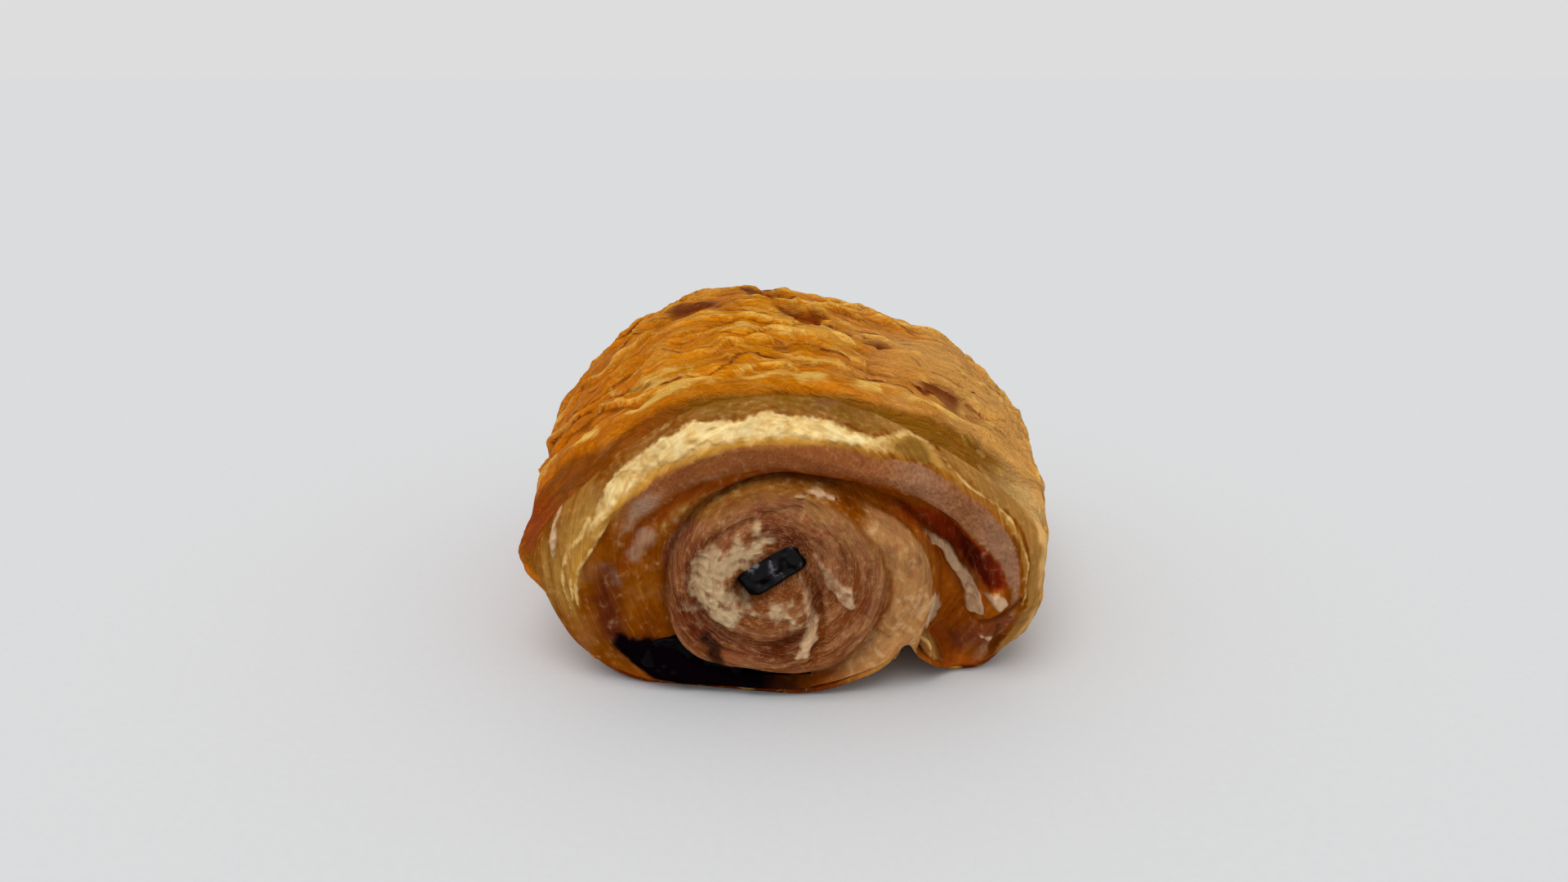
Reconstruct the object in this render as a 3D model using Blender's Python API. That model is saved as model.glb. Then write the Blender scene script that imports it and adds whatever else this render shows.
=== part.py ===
"""A baked chocolate roll of laminated dough, and the two chocolate batons that run through it.

The roll's axis lies along Y and the pastry rests on its flat underside at Z = 0. Seen from the front,
looking along +Y, the dough sheet winds anticlockwise out of the upper baton and its free end hangs down
on the right. Driving dimensions are in millimetres and are turned to metres where a mesh is made.
"""

import bpy
import numpy as np

MM = 0.001

# The section through the middle of the pastry, seen from the front: anticlockwise from the widest point on
# the right. The point that stands above its neighbours at the lower right is the notch under the free end.
BODY_OUTLINE = [
    (38.8, 18.0), (38.6, 28.0), (30.4, 37.0), (22.0, 41.6), (12.0, 45.1), (-3.8, 48.4), (-14.4, 48.0),
    (-22.0, 44.5), (-28.6, 39.2), (-35.2, 32.0), (-37.5, 23.0), (-36.2, 13.6), (-32.6, 5.8), (-24.2, 0.4),
    (-10.0, -1.2), (3.0, 0.6), (10.2, 3.4), (15.6, 6.4), (18.6, 9.4), (20.8, 5.4), (25.2, 0.0), (30.0, 0.0),
    (35.0, 4.7), (38.0, 10.8),
]
FOCUS = (8.0, 26.0)  # every point of the outline can be seen from here, so the grids fan out from it
SIDE_SHIFT = -0.88  # puts the middle of the finished pastry's box on the Y axis

# How the section changes towards the ends of the roll.
CREST_STATION = 29.0  # distance from the middle at which the crust ends on top
HEIGHT_LOSS, WIDTH_LOSS = 0.17, 0.055  # shares that the section loses on its way to that station
TAPER_POWER, TAPER_LIMIT = 2.2, 1.35
SIDE_DRIFT = 0.5  # the section moves to the right by this much at the same time

# How far an end face stands from the middle of the pastry.
LIP_TOP, LIP_SIDE, LIP_UNDER = 29.0, 33.6, 40.0  # the crust's edge
LEDGE_TOP, LEDGE_UNDER = 36.8, 40.6  # the edge of the sheet's end, inside the crust's edge
LEDGE_WIDTH_TOP, LEDGE_WIDTH_LEFT, LEDGE_WIDTH_RIGHT, LEDGE_WIDTH_UNDER = 4.4, 6.4, 3.6, 1.4
LEDGE_CURVE = 0.7  # under 1: the ledge rises steeply at the crust's edge and flattens out inwards
LEDGE_INNER_SHARE = 0.8  # the rolled turns begin at this share of the ledge's width
TAIL_SETBACK, TAIL_START, TAIL_WIDTH, TAIL_HEIGHT = 5.0, 17.0, 8.0, 15.0  # the free end's tip stands back

# The rolled layers on an end face. The seam between them starts at the notch and winds in to the upper
# baton. Each pair is an angle in degrees, anticlockwise from the right, and a value there. Angles past 360
# are on the next turn.
ROLL_CENTRE = (-1.5, 20.0)
SEAM = [
    (-34, 24.2), (0, 21.0), (33, 14.5), (66, 11.8), (105, 10.6), (144, 11.7), (188, 14.3), (223, 17.6),
    (260, 16.2), (300, 17.4), (358, 15.1), (401, 11.6), (450, 8.0), (480, 7.6), (540, 9.8), (600, 11.2),
    (655, 10.0), (700, 6.2), (730, 5.6),
]
LAYER_HEIGHT = [
    (-34, 38.2), (190, 38.2), (270, 38.9), (330, 40.0), (400, 41.0), (560, 41.2), (700, 41.9), (760, 42.2),
]
TURNS = 3
SEAM_DEPTH = [(-34, 0.0), (10, 2.0), (270, 1.6), (360, 1.1), (700, 0.8)]
SEAM_WIDTH, SEAM_END_FADE = 0.9, 40.0
STEP_WIDTH, STEP_LEAD = 1.7, 0.3  # a step between layers, and the share of it that lies beyond the seam
LAYER_CROWN, CROWN_IN, CROWN_WIDTH = 0.7, 3.0, 2.0  # each layer is domed, highest a little inside its edge

# The open gap between the free end and the roll: its width, by angle, and its depth.
GAP = [(-34, 6.5), (-20, 7.0), (0, 6.0), (20, 4.6), (40, 2.6), (60, 1.3), (90, 0.8), (140, 0.4), (190, 0.0)]
GAP_DEPTH, GAP_FULL_WIDTH = 6.0, 6.0
GAP_INNER_WALL, GAP_OUTER_EDGE, GAP_OUTER_WALL = 0.33, 1.25, 0.45  # shares of the gap's width
TAIL_ANGLE, TAIL_RADIUS = 30.0, 24.0  # beyond this radius the free end reaches this far below the seam

# The crust: crags that run across the roll, broad swells, and the torn edge that stands out on the left.
CRAG_HEIGHT, CRAG_ACROSS, CRAG_ALONG = 1.6, 15.0, 6.5
SWELL_HEIGHT, SWELL_LENGTH = 1.0, 26.0
RELIEF_END_FADE, RELIEF_FLOOR, RELIEF_FLOOR_FADE = 4.0, 3.0, 10.0
FLAP_REACH, FLAP_HEIGHT, FLAP_STATION, FLAP_SIDE = 2.9, 18.5, -31.0, 35.0
FLAP_TALL, FLAP_LONG = 5.0, 4.5

# The grids: columns round the pastry, rows on each end face and along the crust.
COLUMNS, FACE_ROWS, SKIN_ROWS = 300, 84, 110
FACE_SPACING = 0.8  # under 1: the rings of an end face lie closer together towards the crust's edge
PASTRY_TRIANGLES = 10400

# The upper baton is still square-cut. The lower one has melted flat between two turns.
BATON_CENTRE, BATON_WIDTH, BATON_THICKNESS, BATON_TILT = (-1.7, 19.8), 9.4, 4.6, 34.0
BATON_SQUARENESS = 4.0  # the power of its superellipse
BATON_REACH = 41.6
MELTED_OUTLINE = [
    (-20.6, 5.6), (-16.4, 2.7), (-8.6, 1.9), (-1.0, 1.9), (4.4, 2.6), (-4.4, 5.2), (-10.4, 8.0), (-17.4, 8.2),
]
MELTED_REACH = 39.6
BATON_POINTS, BATON_END_RADIUS = 28, 0.9
BATON_END = [(0.0, 0.9), (0.4, 0.25), (1.0, 0.0)]  # shares of that radius: way in from the end, loss of width
CLEARANCE = 0.3
CUTTER_REACH = 60.0


def lattice(cell, seed):
    """A repeatable number from 0 to 1 for each whole-numbered cell: its coordinates mixed by large primes."""
    mixed = cell[..., 0] * 374761393 + cell[..., 1] * 668265263 + cell[..., 2] * 974634777 + seed * 362437
    mixed = (mixed ^ (mixed >> 13)) * 1274126177 & 0x7FFFFFFF
    return ((mixed ^ (mixed >> 16)) & 0xFFFF) / 65535.0


def noise(points, seed):
    """Smooth noise from -1 to 1: the numbers at the eight corners of a point's cell, blended by smoothstep."""
    cell = np.floor(points).astype(np.int64)
    part = points - cell
    part = part * part * (3 - 2 * part)
    total = np.zeros(points.shape[:-1])
    for corner in np.ndindex(2, 2, 2):
        weight = np.prod(np.where(corner, part, 1 - part), axis=-1)
        total += weight * lattice(cell + np.array(corner), seed)
    return 2 * total - 1


def smoothstep(value):
    value = np.clip(value, 0, 1)
    return value * value * (3 - 2 * value)


def bump(distance, width):
    """A bell curve: 1 where the distance is 0, and near 0 beyond twice the width."""
    return np.exp(-((distance / width) ** 2))


def through(table, at):
    """A smooth curve through (position, value) pairs: cubic pieces with slopes taken from their neighbours."""
    position, value = np.array(table, float).T
    slope = np.gradient(value, position)
    at = np.clip(at, position[0], position[-1])
    i = np.clip(np.searchsorted(position, at, side="right") - 1, 0, len(position) - 2)
    step = position[i + 1] - position[i]
    t = (at - position[i]) / step
    return (
        (2 * t**3 - 3 * t**2 + 1) * value[i]
        + (t**3 - 2 * t**2 + t) * step * slope[i]
        + (3 * t**2 - 2 * t**3) * value[i + 1]
        + (t**3 - t**2) * step * slope[i + 1]
    )


def closed_curve(points, count):
    """count points, evenly spaced along the closed Catmull-Rom curve through the given points."""
    p1 = np.array(points, float)[:, None, :]
    p0, p2, p3 = np.roll(p1, 1, 0), np.roll(p1, -1, 0), np.roll(p1, -2, 0)
    t = np.linspace(0, 1, 40, endpoint=False)[None, :, None]
    square, cube = 2 * p0 - 5 * p1 + 4 * p2 - p3, 3 * (p1 - p2) + p3 - p0
    dense = (0.5 * (2 * p1 + (p2 - p0) * t + square * t**2 + cube * t**3)).reshape(-1, 2)
    dense = np.vstack([dense, dense[:1]])
    length = np.concatenate([[0], np.cumsum(np.linalg.norm(np.diff(dense, axis=0), axis=1))])
    at = np.linspace(0, length[-1], count, endpoint=False)
    return np.stack([np.interp(at, length, dense[:, k]) for k in (0, 1)], axis=-1)


def grown(outline, by):
    """An anticlockwise outline moved outwards along its normals."""
    tangent = np.roll(outline, -1, 0) - np.roll(outline, 1, 0)
    normal = np.stack([tangent[:, 1], -tangent[:, 0]], axis=-1)
    return outline + by * normal / np.linalg.norm(normal, axis=-1, keepdims=True)


def section(outline, station):
    """The outline at a station, flat where it meets the floor: lower and narrower towards the roll's ends."""
    share = np.minimum(np.abs(station) / CREST_STATION, TAPER_LIMIT) ** TAPER_POWER
    x = outline[..., 0] * (1 - WIDTH_LOSS * share) + SIDE_DRIFT * share
    z = np.maximum(outline[..., 1], 0) * (1 - HEIGHT_LOSS * share)
    return np.stack([x, z], axis=-1)


def side_blend(direction, top, left, right, under):
    """A value that turns smoothly from top to left, under and right with the direction from the focus."""
    angle = np.arctan2(direction[..., 1], direction[..., 0])
    up = np.clip(np.sin(angle), 0, 1) ** 2
    down = np.clip(-np.sin(angle), 0, 1) ** 2
    rightness = smoothstep(0.5 + 0.8 * np.cos(angle))
    return up * top + down * under + (1 - up - down) * (rightness * right + (1 - rightness) * left)


def tail_setback(x, z):
    """How much nearer the middle an end face stands at the free end's tip, on the lower right."""
    return TAIL_SETBACK * smoothstep((x - TAIL_START) / TAIL_WIDTH) * smoothstep(1 - z / TAIL_HEIGHT)


def turn_height(x, z):
    """How far the rolled turns stand out: each layer's height and crown, less the seams and the open gap."""
    across, up = x - ROLL_CENTRE[0], z - ROLL_CENTRE[1]
    radius = np.hypot(across, up)
    angle = np.degrees(np.arctan2(up, across))
    start = SEAM[0][0] - TAIL_ANGLE * (radius > TAIL_RADIUS)
    angle = np.where(angle < start, angle + 360, angle)
    height = through(LAYER_HEIGHT, angle)
    for turn in range(TURNS):
        along = angle + 360 * turn
        seam = through(SEAM, along)
        exists = smoothstep((SEAM[-1][0] - along) / SEAM_END_FADE)
        begun = smoothstep((along - SEAM[0][0]) / SEAM_END_FADE)
        inside = smoothstep((seam - radius) / STEP_WIDTH + STEP_LEAD)
        height += exists * inside * (through(LAYER_HEIGHT, along + 360) - through(LAYER_HEIGHT, along))
        height -= exists * through(SEAM_DEPTH, along) * bump(radius - seam, SEAM_WIDTH)
        height += exists * begun * LAYER_CROWN * bump(seam - radius - CROWN_IN, CROWN_WIDTH)
    gap = through(GAP, angle)
    into_gap = (radius - through(SEAM, angle)) / np.maximum(gap, 0.05)
    valley = smoothstep(into_gap / GAP_INNER_WALL) * smoothstep((GAP_OUTER_EDGE - into_gap) / GAP_OUTER_WALL)
    return height - GAP_DEPTH * smoothstep(gap / GAP_FULL_WIDTH) * valley


def crust_edge(toward):
    """How far the crust's edge stands from the middle, in each direction from the focus."""
    return side_blend(toward, LIP_TOP, LIP_SIDE, LIP_SIDE, LIP_UNDER)


def end_face(ring, rim, share):
    """The end face's distance from the middle at each ring point, from the crust's edge in over the ledge."""
    toward = rim - np.array(FOCUS)
    inset = (1 - share) * np.linalg.norm(toward, axis=-1)
    width = side_blend(toward, LEDGE_WIDTH_TOP, LEDGE_WIDTH_LEFT, LEDGE_WIDTH_RIGHT, LEDGE_WIDTH_UNDER)
    lip = crust_edge(toward)
    ledge = side_blend(toward, LEDGE_TOP, LEDGE_TOP, LEDGE_TOP, LEDGE_UNDER)
    rise = np.clip(inset / width, 0, 1) ** LEDGE_CURVE
    onto = smoothstep((inset - LEDGE_INNER_SHARE * width) / STEP_WIDTH)
    x, z = ring[..., 0], ring[..., 1]
    return (lip + (ledge - lip) * rise) * (1 - onto) + turn_height(x, z) * onto - tail_setback(x, z)


def pastry_points():
    """The pastry's grid of points, from the middle of the front face over the crust to that of the back."""
    outline = closed_curve(BODY_OUTLINE, COLUMNS)
    focus = np.array(FOCUS)
    lip = crust_edge(outline - focus) - tail_setback(outline[:, 0], outline[:, 1])
    rim = section(outline, lip)
    share = np.linspace(0, 1, FACE_ROWS + 1)[1:, None] ** FACE_SPACING
    ring = focus + share[..., None] * (rim - focus)
    face = end_face(ring, rim[None], share)
    front = np.stack([ring[..., 0], -face, ring[..., 1]], axis=-1)
    back = np.stack([ring[..., 0], face, ring[..., 1]], axis=-1)
    station = np.linspace(-1, 1, SKIN_ROWS + 2)[1:-1, None] * lip
    skin = section(np.broadcast_to(outline, (SKIN_ROWS, COLUMNS, 2)), station)
    skin = np.stack([skin[..., 0], station, skin[..., 1]], axis=-1)
    return np.concatenate([front, skin, back[::-1]])


def add_crust_relief(points):
    """Pushes the crust out from the axis by swells, sharp-edged crags and the torn edge on the left."""
    x, y, z = np.moveaxis(points, -1, 0)
    crag = 1 - 2 * np.abs(noise(points / np.array([CRAG_ACROSS, CRAG_ALONG, CRAG_ACROSS]), 3))
    swell = noise(points / SWELL_LENGTH, 8)
    fade = smoothstep((LIP_UNDER - np.abs(y)) / RELIEF_END_FADE)
    fade = fade * smoothstep((z - RELIEF_FLOOR) / RELIEF_FLOOR_FADE)
    flap = bump(z - FLAP_HEIGHT, FLAP_TALL) * bump(y - FLAP_STATION, FLAP_LONG) * smoothstep(-x / FLAP_SIDE)
    outward = np.stack([x - ROLL_CENTRE[0], np.zeros_like(y), z - ROLL_CENTRE[1]], axis=-1)
    outward /= np.maximum(np.linalg.norm(outward, axis=-1, keepdims=True), 1.0)
    push = 0.5 * (CRAG_HEIGHT * crag + SWELL_HEIGHT * swell) * fade + FLAP_REACH * flap
    return points + outward * push[..., None]


def grid_mesh(name, rows, first_pole, last_pole):
    """A closed mesh: rings of points joined by quads, and a fan of triangles from each end ring to its pole."""
    count, columns = rows.shape[:2]
    points = (np.vstack([rows.reshape(-1, 3), [first_pole, last_pole]]) + (SIDE_SHIFT, 0, 0)) * MM
    index = np.arange(count * columns).reshape(count, columns)
    following = np.roll(index, -1, axis=1)
    quads = np.stack([index[:-1], index[1:], following[1:], following[:-1]], axis=-1).reshape(-1, 4)
    pole = count * columns
    fans = [(pole, a, b) for a, b in zip(index[0], following[0])]
    fans += [(pole + 1, b, a) for a, b in zip(index[-1], following[-1])]
    mesh = bpy.data.meshes.new(name)
    mesh.from_pydata(points.tolist(), [], quads.tolist() + fans)
    mesh.update()
    return mesh


def baked_dough():
    material = bpy.data.materials.new("baked_dough")
    material.use_nodes = True
    shader = material.node_tree.nodes["Principled BSDF"]
    shader.inputs["Base Color"].default_value = (0.56, 0.25, 0.05, 1)
    shader.inputs["Roughness"].default_value = 0.5
    return material


def dark_chocolate():
    material = bpy.data.materials.new("dark_chocolate")
    material.use_nodes = True
    shader = material.node_tree.nodes["Principled BSDF"]
    shader.inputs["Base Color"].default_value = (0.02, 0.011, 0.01, 1)
    shader.inputs["Roughness"].default_value = 0.35
    return material


def place(name, mesh, material):
    thing = bpy.data.objects.new(name, mesh)
    thing.data.materials.append(material)
    bpy.context.scene.collection.objects.link(thing)
    return thing


def upper_baton_section():
    """A rounded rectangle, tilted as it lies in the roll: a superellipse of the baton's width and thickness."""
    turn = np.linspace(0, 2 * np.pi, BATON_POINTS, endpoint=False)
    cosine, sine = np.cos(turn), np.sin(turn)
    wide = BATON_WIDTH / 2 * np.sign(cosine) * np.abs(cosine) ** (2 / BATON_SQUARENESS)
    thick = BATON_THICKNESS / 2 * np.sign(sine) * np.abs(sine) ** (2 / BATON_SQUARENESS)
    tilt = np.radians(BATON_TILT)
    x = BATON_CENTRE[0] + wide * np.cos(tilt) - thick * np.sin(tilt)
    z = BATON_CENTRE[1] + wide * np.sin(tilt) + thick * np.cos(tilt)
    return np.stack([x, z], axis=-1)


def lower_baton_section():
    return closed_curve(MELTED_OUTLINE, BATON_POINTS)


def bar_along_the_roll(name, outline, reach):
    """A closed bar with the given section, from -reach to reach along the roll, its two ends rounded over."""
    centre = outline.mean(axis=0)
    span = np.abs(outline - centre).max()
    rings = []
    for way_in, loss in BATON_END:
        ring = centre + (outline - centre) * (1 - loss * BATON_END_RADIUS / span)
        station = np.full(len(ring), way_in * BATON_END_RADIUS - reach)
        rings.append(np.stack([ring[:, 0], station, ring[:, 1]], axis=-1))
    front = np.array(rings)
    back = front[::-1] * (1, -1, 1)
    first, last = (centre[0], -reach, centre[1]), (centre[0], reach, centre[1])
    return grid_mesh(name, np.concatenate([front, back]), first, last)


def cut_channel(pastry, name, outline):
    """Takes the baton's channel out of the pastry, right through it."""
    cutter = bpy.data.objects.new(name, bar_along_the_roll(name, outline, CUTTER_REACH))
    bpy.context.scene.collection.objects.link(cutter)
    cutter.hide_render = True
    cutter.display_type = "WIRE"
    cut = pastry.modifiers.new(name, "BOOLEAN")
    cut.operation = "DIFFERENCE"
    cut.object = cutter


def make_pastry():
    points = add_crust_relief(pastry_points())
    reach = turn_height(*np.array(FOCUS)[:, None])[0]
    front_middle, back_middle = (FOCUS[0], -reach, FOCUS[1]), (FOCUS[0], reach, FOCUS[1])
    mesh = grid_mesh("pastry", points, front_middle, back_middle)
    mesh.shade_smooth()
    pastry = place("pastry", mesh, baked_dough())
    fewer = pastry.modifiers.new("fewer_faces", "DECIMATE")
    fewer.ratio = PASTRY_TRIANGLES / (2 * COLUMNS * (2 * FACE_ROWS + SKIN_ROWS))
    cut_channel(pastry, "upper_channel", grown(upper_baton_section(), CLEARANCE))
    cut_channel(pastry, "lower_channel", grown(lower_baton_section(), CLEARANCE))


def make_batons():
    chocolate = dark_chocolate()
    upper = bar_along_the_roll("chocolate_upper", upper_baton_section(), BATON_REACH)
    lower = bar_along_the_roll("chocolate_lower", lower_baton_section(), MELTED_REACH)
    for mesh in (upper, lower):
        place(mesh.name, mesh, chocolate)


def main():
    for thing in list(bpy.data.objects):
        bpy.data.objects.remove(thing)
    make_pastry()
    make_batons()


main()
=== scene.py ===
"""Looks of a baked chocolate roll: a wrinkled egg-washed crust round a dough sheet that is rolled up over two
chocolate batons, with the layers torn open on both ends.

The roll's axis lies along Y and the roll rests on Z = 0. Seen from the front, looking along +Y, the sheet
winds anticlockwise out of the upper baton and its free end hangs down on the right. Shapes are worked out in
millimetres, and turned to metres where a mesh is made. Angles are degrees, anticlockwise from the right.
"""

from types import SimpleNamespace

import bpy
import numpy as np
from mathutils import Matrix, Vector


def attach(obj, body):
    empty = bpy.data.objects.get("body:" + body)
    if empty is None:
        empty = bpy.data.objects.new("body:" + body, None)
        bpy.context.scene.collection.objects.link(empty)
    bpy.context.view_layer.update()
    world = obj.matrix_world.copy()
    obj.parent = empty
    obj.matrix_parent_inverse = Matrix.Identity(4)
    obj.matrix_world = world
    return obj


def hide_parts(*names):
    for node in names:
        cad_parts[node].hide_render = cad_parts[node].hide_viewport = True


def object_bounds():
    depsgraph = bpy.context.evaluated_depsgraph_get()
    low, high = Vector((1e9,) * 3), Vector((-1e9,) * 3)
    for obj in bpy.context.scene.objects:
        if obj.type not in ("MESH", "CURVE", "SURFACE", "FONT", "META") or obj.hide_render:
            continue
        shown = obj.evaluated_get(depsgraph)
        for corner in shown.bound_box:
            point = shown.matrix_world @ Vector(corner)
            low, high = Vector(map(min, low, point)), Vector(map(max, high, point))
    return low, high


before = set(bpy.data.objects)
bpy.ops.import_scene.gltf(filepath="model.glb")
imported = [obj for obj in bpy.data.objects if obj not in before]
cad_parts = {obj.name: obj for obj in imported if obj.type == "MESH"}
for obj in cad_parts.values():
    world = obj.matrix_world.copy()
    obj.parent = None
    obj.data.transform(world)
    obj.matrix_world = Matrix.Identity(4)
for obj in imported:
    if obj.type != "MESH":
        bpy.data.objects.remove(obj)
cad_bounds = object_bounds()

MM = 0.001

# The section through the middle of the pastry, anticlockwise from the widest point on the right.
BODY_OUTLINE = [
    (38.8, 18.0), (38.6, 28.0), (30.4, 37.0), (22.0, 41.6), (12.0, 45.1), (-3.8, 48.4), (-14.4, 48.0),
    (-22.0, 44.5), (-28.6, 39.2), (-35.2, 32.0), (-37.5, 23.0), (-36.2, 13.6), (-32.6, 5.8), (-24.2, 0.4),
    (-10.0, -1.2), (3.0, 0.6), (10.2, 3.4), (15.6, 6.4), (18.6, 9.4), (20.8, 5.4), (25.2, 0.0), (30.0, 0.0),
    (35.0, 4.7), (38.0, 10.8),
]
# Every point of the outline can be seen from here, so the grids fan out from it.
FOCUS = np.array([8.0, 26.0])
# How far the outline's zero stands to the side of the frame's.
SIDE_SHIFT = -0.88

# How the section changes towards the ends of the roll.
CREST_STATION, HEIGHT_LOSS, WIDTH_LOSS = 29.0, 0.17, 0.055
TAPER_POWER, TAPER_LIMIT, SIDE_DRIFT = 2.2, 1.35, 0.5

# How far an end stands from the middle: the crust's edge, and the edge of the sheet inside it.
LIP_TOP, LIP_SIDE, LIP_UNDER = 29.0, 33.6, 40.0
LEDGE_TOP, LEDGE_UNDER = 36.8, 40.6
LEDGE_WIDTH_TOP, LEDGE_WIDTH_LEFT, LEDGE_WIDTH_RIGHT, LEDGE_WIDTH_UNDER = 4.4, 6.4, 3.6, 1.4
LEDGE_CURVE, LEDGE_INNER_SHARE = 0.7, 0.8
TAIL_SETBACK, TAIL_START, TAIL_WIDTH, TAIL_HEIGHT = 5.0, 17.0, 8.0, 15.0

# The rolled layers. Each pair is an angle in degrees, anticlockwise from the right, and a value there.
ROLL_CENTRE = (-1.5, 20.0)
SEAM = [
    (-34, 24.2), (0, 21.0), (33, 14.5), (66, 11.8), (105, 10.6), (144, 11.7), (188, 14.3), (223, 17.6),
    (260, 16.2), (300, 17.4), (358, 15.1), (401, 11.6), (450, 8.0), (480, 7.6), (540, 9.8), (600, 11.2),
    (655, 10.0), (700, 6.2), (730, 5.6),
]
LAYER_HEIGHT = [
    (-34, 38.2), (190, 38.2), (270, 38.9), (330, 40.0), (400, 41.0), (560, 41.2), (700, 41.9), (760, 42.2),
]
TURNS = 3
SEAM_DEPTH = [(-34, 0.0), (10, 2.0), (270, 1.6), (360, 1.1), (700, 0.8)]
SEAM_WIDTH, SEAM_END_FADE = 0.9, 40.0
STEP_WIDTH, STEP_LEAD = 1.7, 0.3
LAYER_CROWN, CROWN_IN, CROWN_WIDTH = 0.7, 3.0, 2.0
GAP = [(-34, 6.5), (-20, 7.0), (0, 6.0), (20, 4.6), (40, 2.6), (60, 1.3), (90, 0.8), (140, 0.4), (190, 0.0)]
GAP_DEPTH, GAP_FULL_WIDTH, GAP_LEAST = 6.0, 6.0, 0.05
GAP_INNER_WALL, GAP_OUTER_EDGE, GAP_OUTER_WALL = 0.33, 1.25, 0.45
TAIL_ANGLE, TAIL_RADIUS = 30.0, 24.0

# The crust's large relief.
CRAG_HEIGHT, CRAG_ACROSS, CRAG_ALONG = 1.6, 15.0, 6.5
SWELL_HEIGHT, SWELL_LENGTH = 1.0, 26.0
RELIEF_END_FADE, RELIEF_FLOOR, RELIEF_FLOOR_FADE = 4.0, 3.0, 10.0
FLAP_REACH, FLAP_HEIGHT, FLAP_STATION, FLAP_SIDE = 2.9, 18.5, -31.0, 35.0
FLAP_TALL, FLAP_LONG = 5.0, 4.5

# The edges of the bands that show on the sheet's end, from the crust in to the roll: angle, distance from the
# roll's centre.
CREAM_TOP = [
    (-30, 35.2), (-5, 34.6), (2, 34.0), (8, 32.9), (16, 29.5), (25, 27.0), (35, 25.3), (43, 23.0), (50, 20.8),
    (63, 19.7), (78, 19.0), (96, 19.4), (108, 19.3), (119, 20.8), (129, 21.3), (139, 22.3), (146, 23.1),
    (156, 24.4), (164, 24.8), (170, 25.6), (175, 26.6), (180, 28.2), (215, 28.6),
]
CREAM_FOOT = [
    (-30, 35.2), (-6, 34.2), (0, 33.5), (5, 32.6), (11, 30.8), (20, 27.7), (28, 25.2), (32, 24.1), (40, 21.4),
    (49, 19.3), (61, 18.2), (80, 16.9), (99, 16.8), (114, 17.3), (129, 18.2), (143, 19.8), (150, 20.5),
    (158, 22.0), (168, 23.5), (174, 24.8), (184, 26.6), (190, 27.5), (215, 27.8),
]
BAND_FOOT = [
    (-30, 33.6), (-6, 32.2), (-2, 30.6), (3, 28.9), (8, 26.6), (14, 24.2), (22, 21.9), (30, 19.6), (36, 17.9),
    (44, 16.4), (54, 14.8), (77, 12.9), (97, 12.8), (112, 13.3), (126, 14.1), (137, 15.0), (147, 16.3),
    (157, 17.3), (165, 18.8), (178, 20.6), (188, 22.0), (225, 22.4),
]
ROLL_EDGE = [
    (-34, 16.6), (-13, 16.4), (2, 15.0), (15, 14.0), (28, 13.0), (43, 12.2), (60, 11.0), (86, 10.0),
    (120, 10.2), (148, 11.7), (160, 13.6), (171, 15.0), (188, 15.0), (223, 17.6), (260, 16.2), (300, 17.4),
    (326, 16.6),
]
# The line along which the crust's lip ends: angle about the roll's centre, distance from the middle.
LIP_LINE = [
    (-64, 42.0), (-30, 36.0), (0, 28.5), (13, 25.4), (18, 24.4), (26, 25.6), (38, 26.1), (57, 26.7),
    (81, 27.8), (95, 28.5), (109, 28.5), (125, 29.1), (137, 30.0), (151, 28.8), (160, 27.3), (167, 26.2),
    (178, 28.0), (190, 34.0), (215, 42.0), (296, 42.0),
]

# What shows on an end, as paths with rows of x, z and half-width. First the strips of torn dough.
TORN_STRIPS = [
    [(4.0, 22.6, 0.4), (5.2, 20.7, 0.8), (6.4, 18.2, 1.1), (8.2, 16.7, 1.3), (9.0, 15.2, 0.9)],
    [(2.4, 19.3, 0.5), (3.1, 16.3, 0.7), (3.8, 11.7, 1.0), (3.4, 10.1, 1.2), (2.7, 8.4, 0.8),
     (1.8, 7.4, 0.3)],
    [(29.0, 13.9, 1.0), (29.8, 13.2, 1.1)],
    [(20.3, 13.9, 0.7), (21.3, 9.6, 1.6), (21.1, 7.6, 1.1)],
    [(27.4, 7.2, 0.2), (29.3, 6.2, 0.5)],
    [(-30.9, 25.3, 0.2), (-31.4, 23.7, 0.5), (-31.7, 21.4, 0.6), (-31.8, 18.6, 0.2)],
]
# Strips with a clean edge: the one in the valley, and a thin flake over the roll.
CLEAN_STRIPS = [
    [(19.4, 22.8, 0.2), (20.8, 21.2, 0.5), (22.6, 19.5, 0.7), (23.8, 17.4, 0.8), (25.5, 15.2, 0.8),
     (26.6, 12.8, 1.0), (26.8, 11.0, 1.1), (26.4, 9.8, 0.4)],
    [(1.2, 30.1, 0.02), (3.8, 30.1, 0.1), (5.2, 29.8, 0.2), (6.6, 29.3, 0.25)],
]
# The reddish dough on the free end, and the creases.
TAIL_BLUSH = [(25.6, 4.6, 1.2), (28.6, 7.6, 1.8), (30.8, 10.4, 1.2)]
CREASES = [
    [(3.0, 19.6, 0.4), (4.3, 15.7, 0.8), (4.8, 11.5, 0.9), (4.6, 8.5, 0.9), (3.7, 6.8, 0.5)],
    [(27.5, 8.6, 0.2), (29.8, 10.7, 0.3), (31.6, 12.3, 0.3), (32.6, 13.8, 0.2)],
    [(30.1, 9.0, 0.2), (30.2, 7.4, 0.4), (29.9, 4.5, 0.6)],
]
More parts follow.
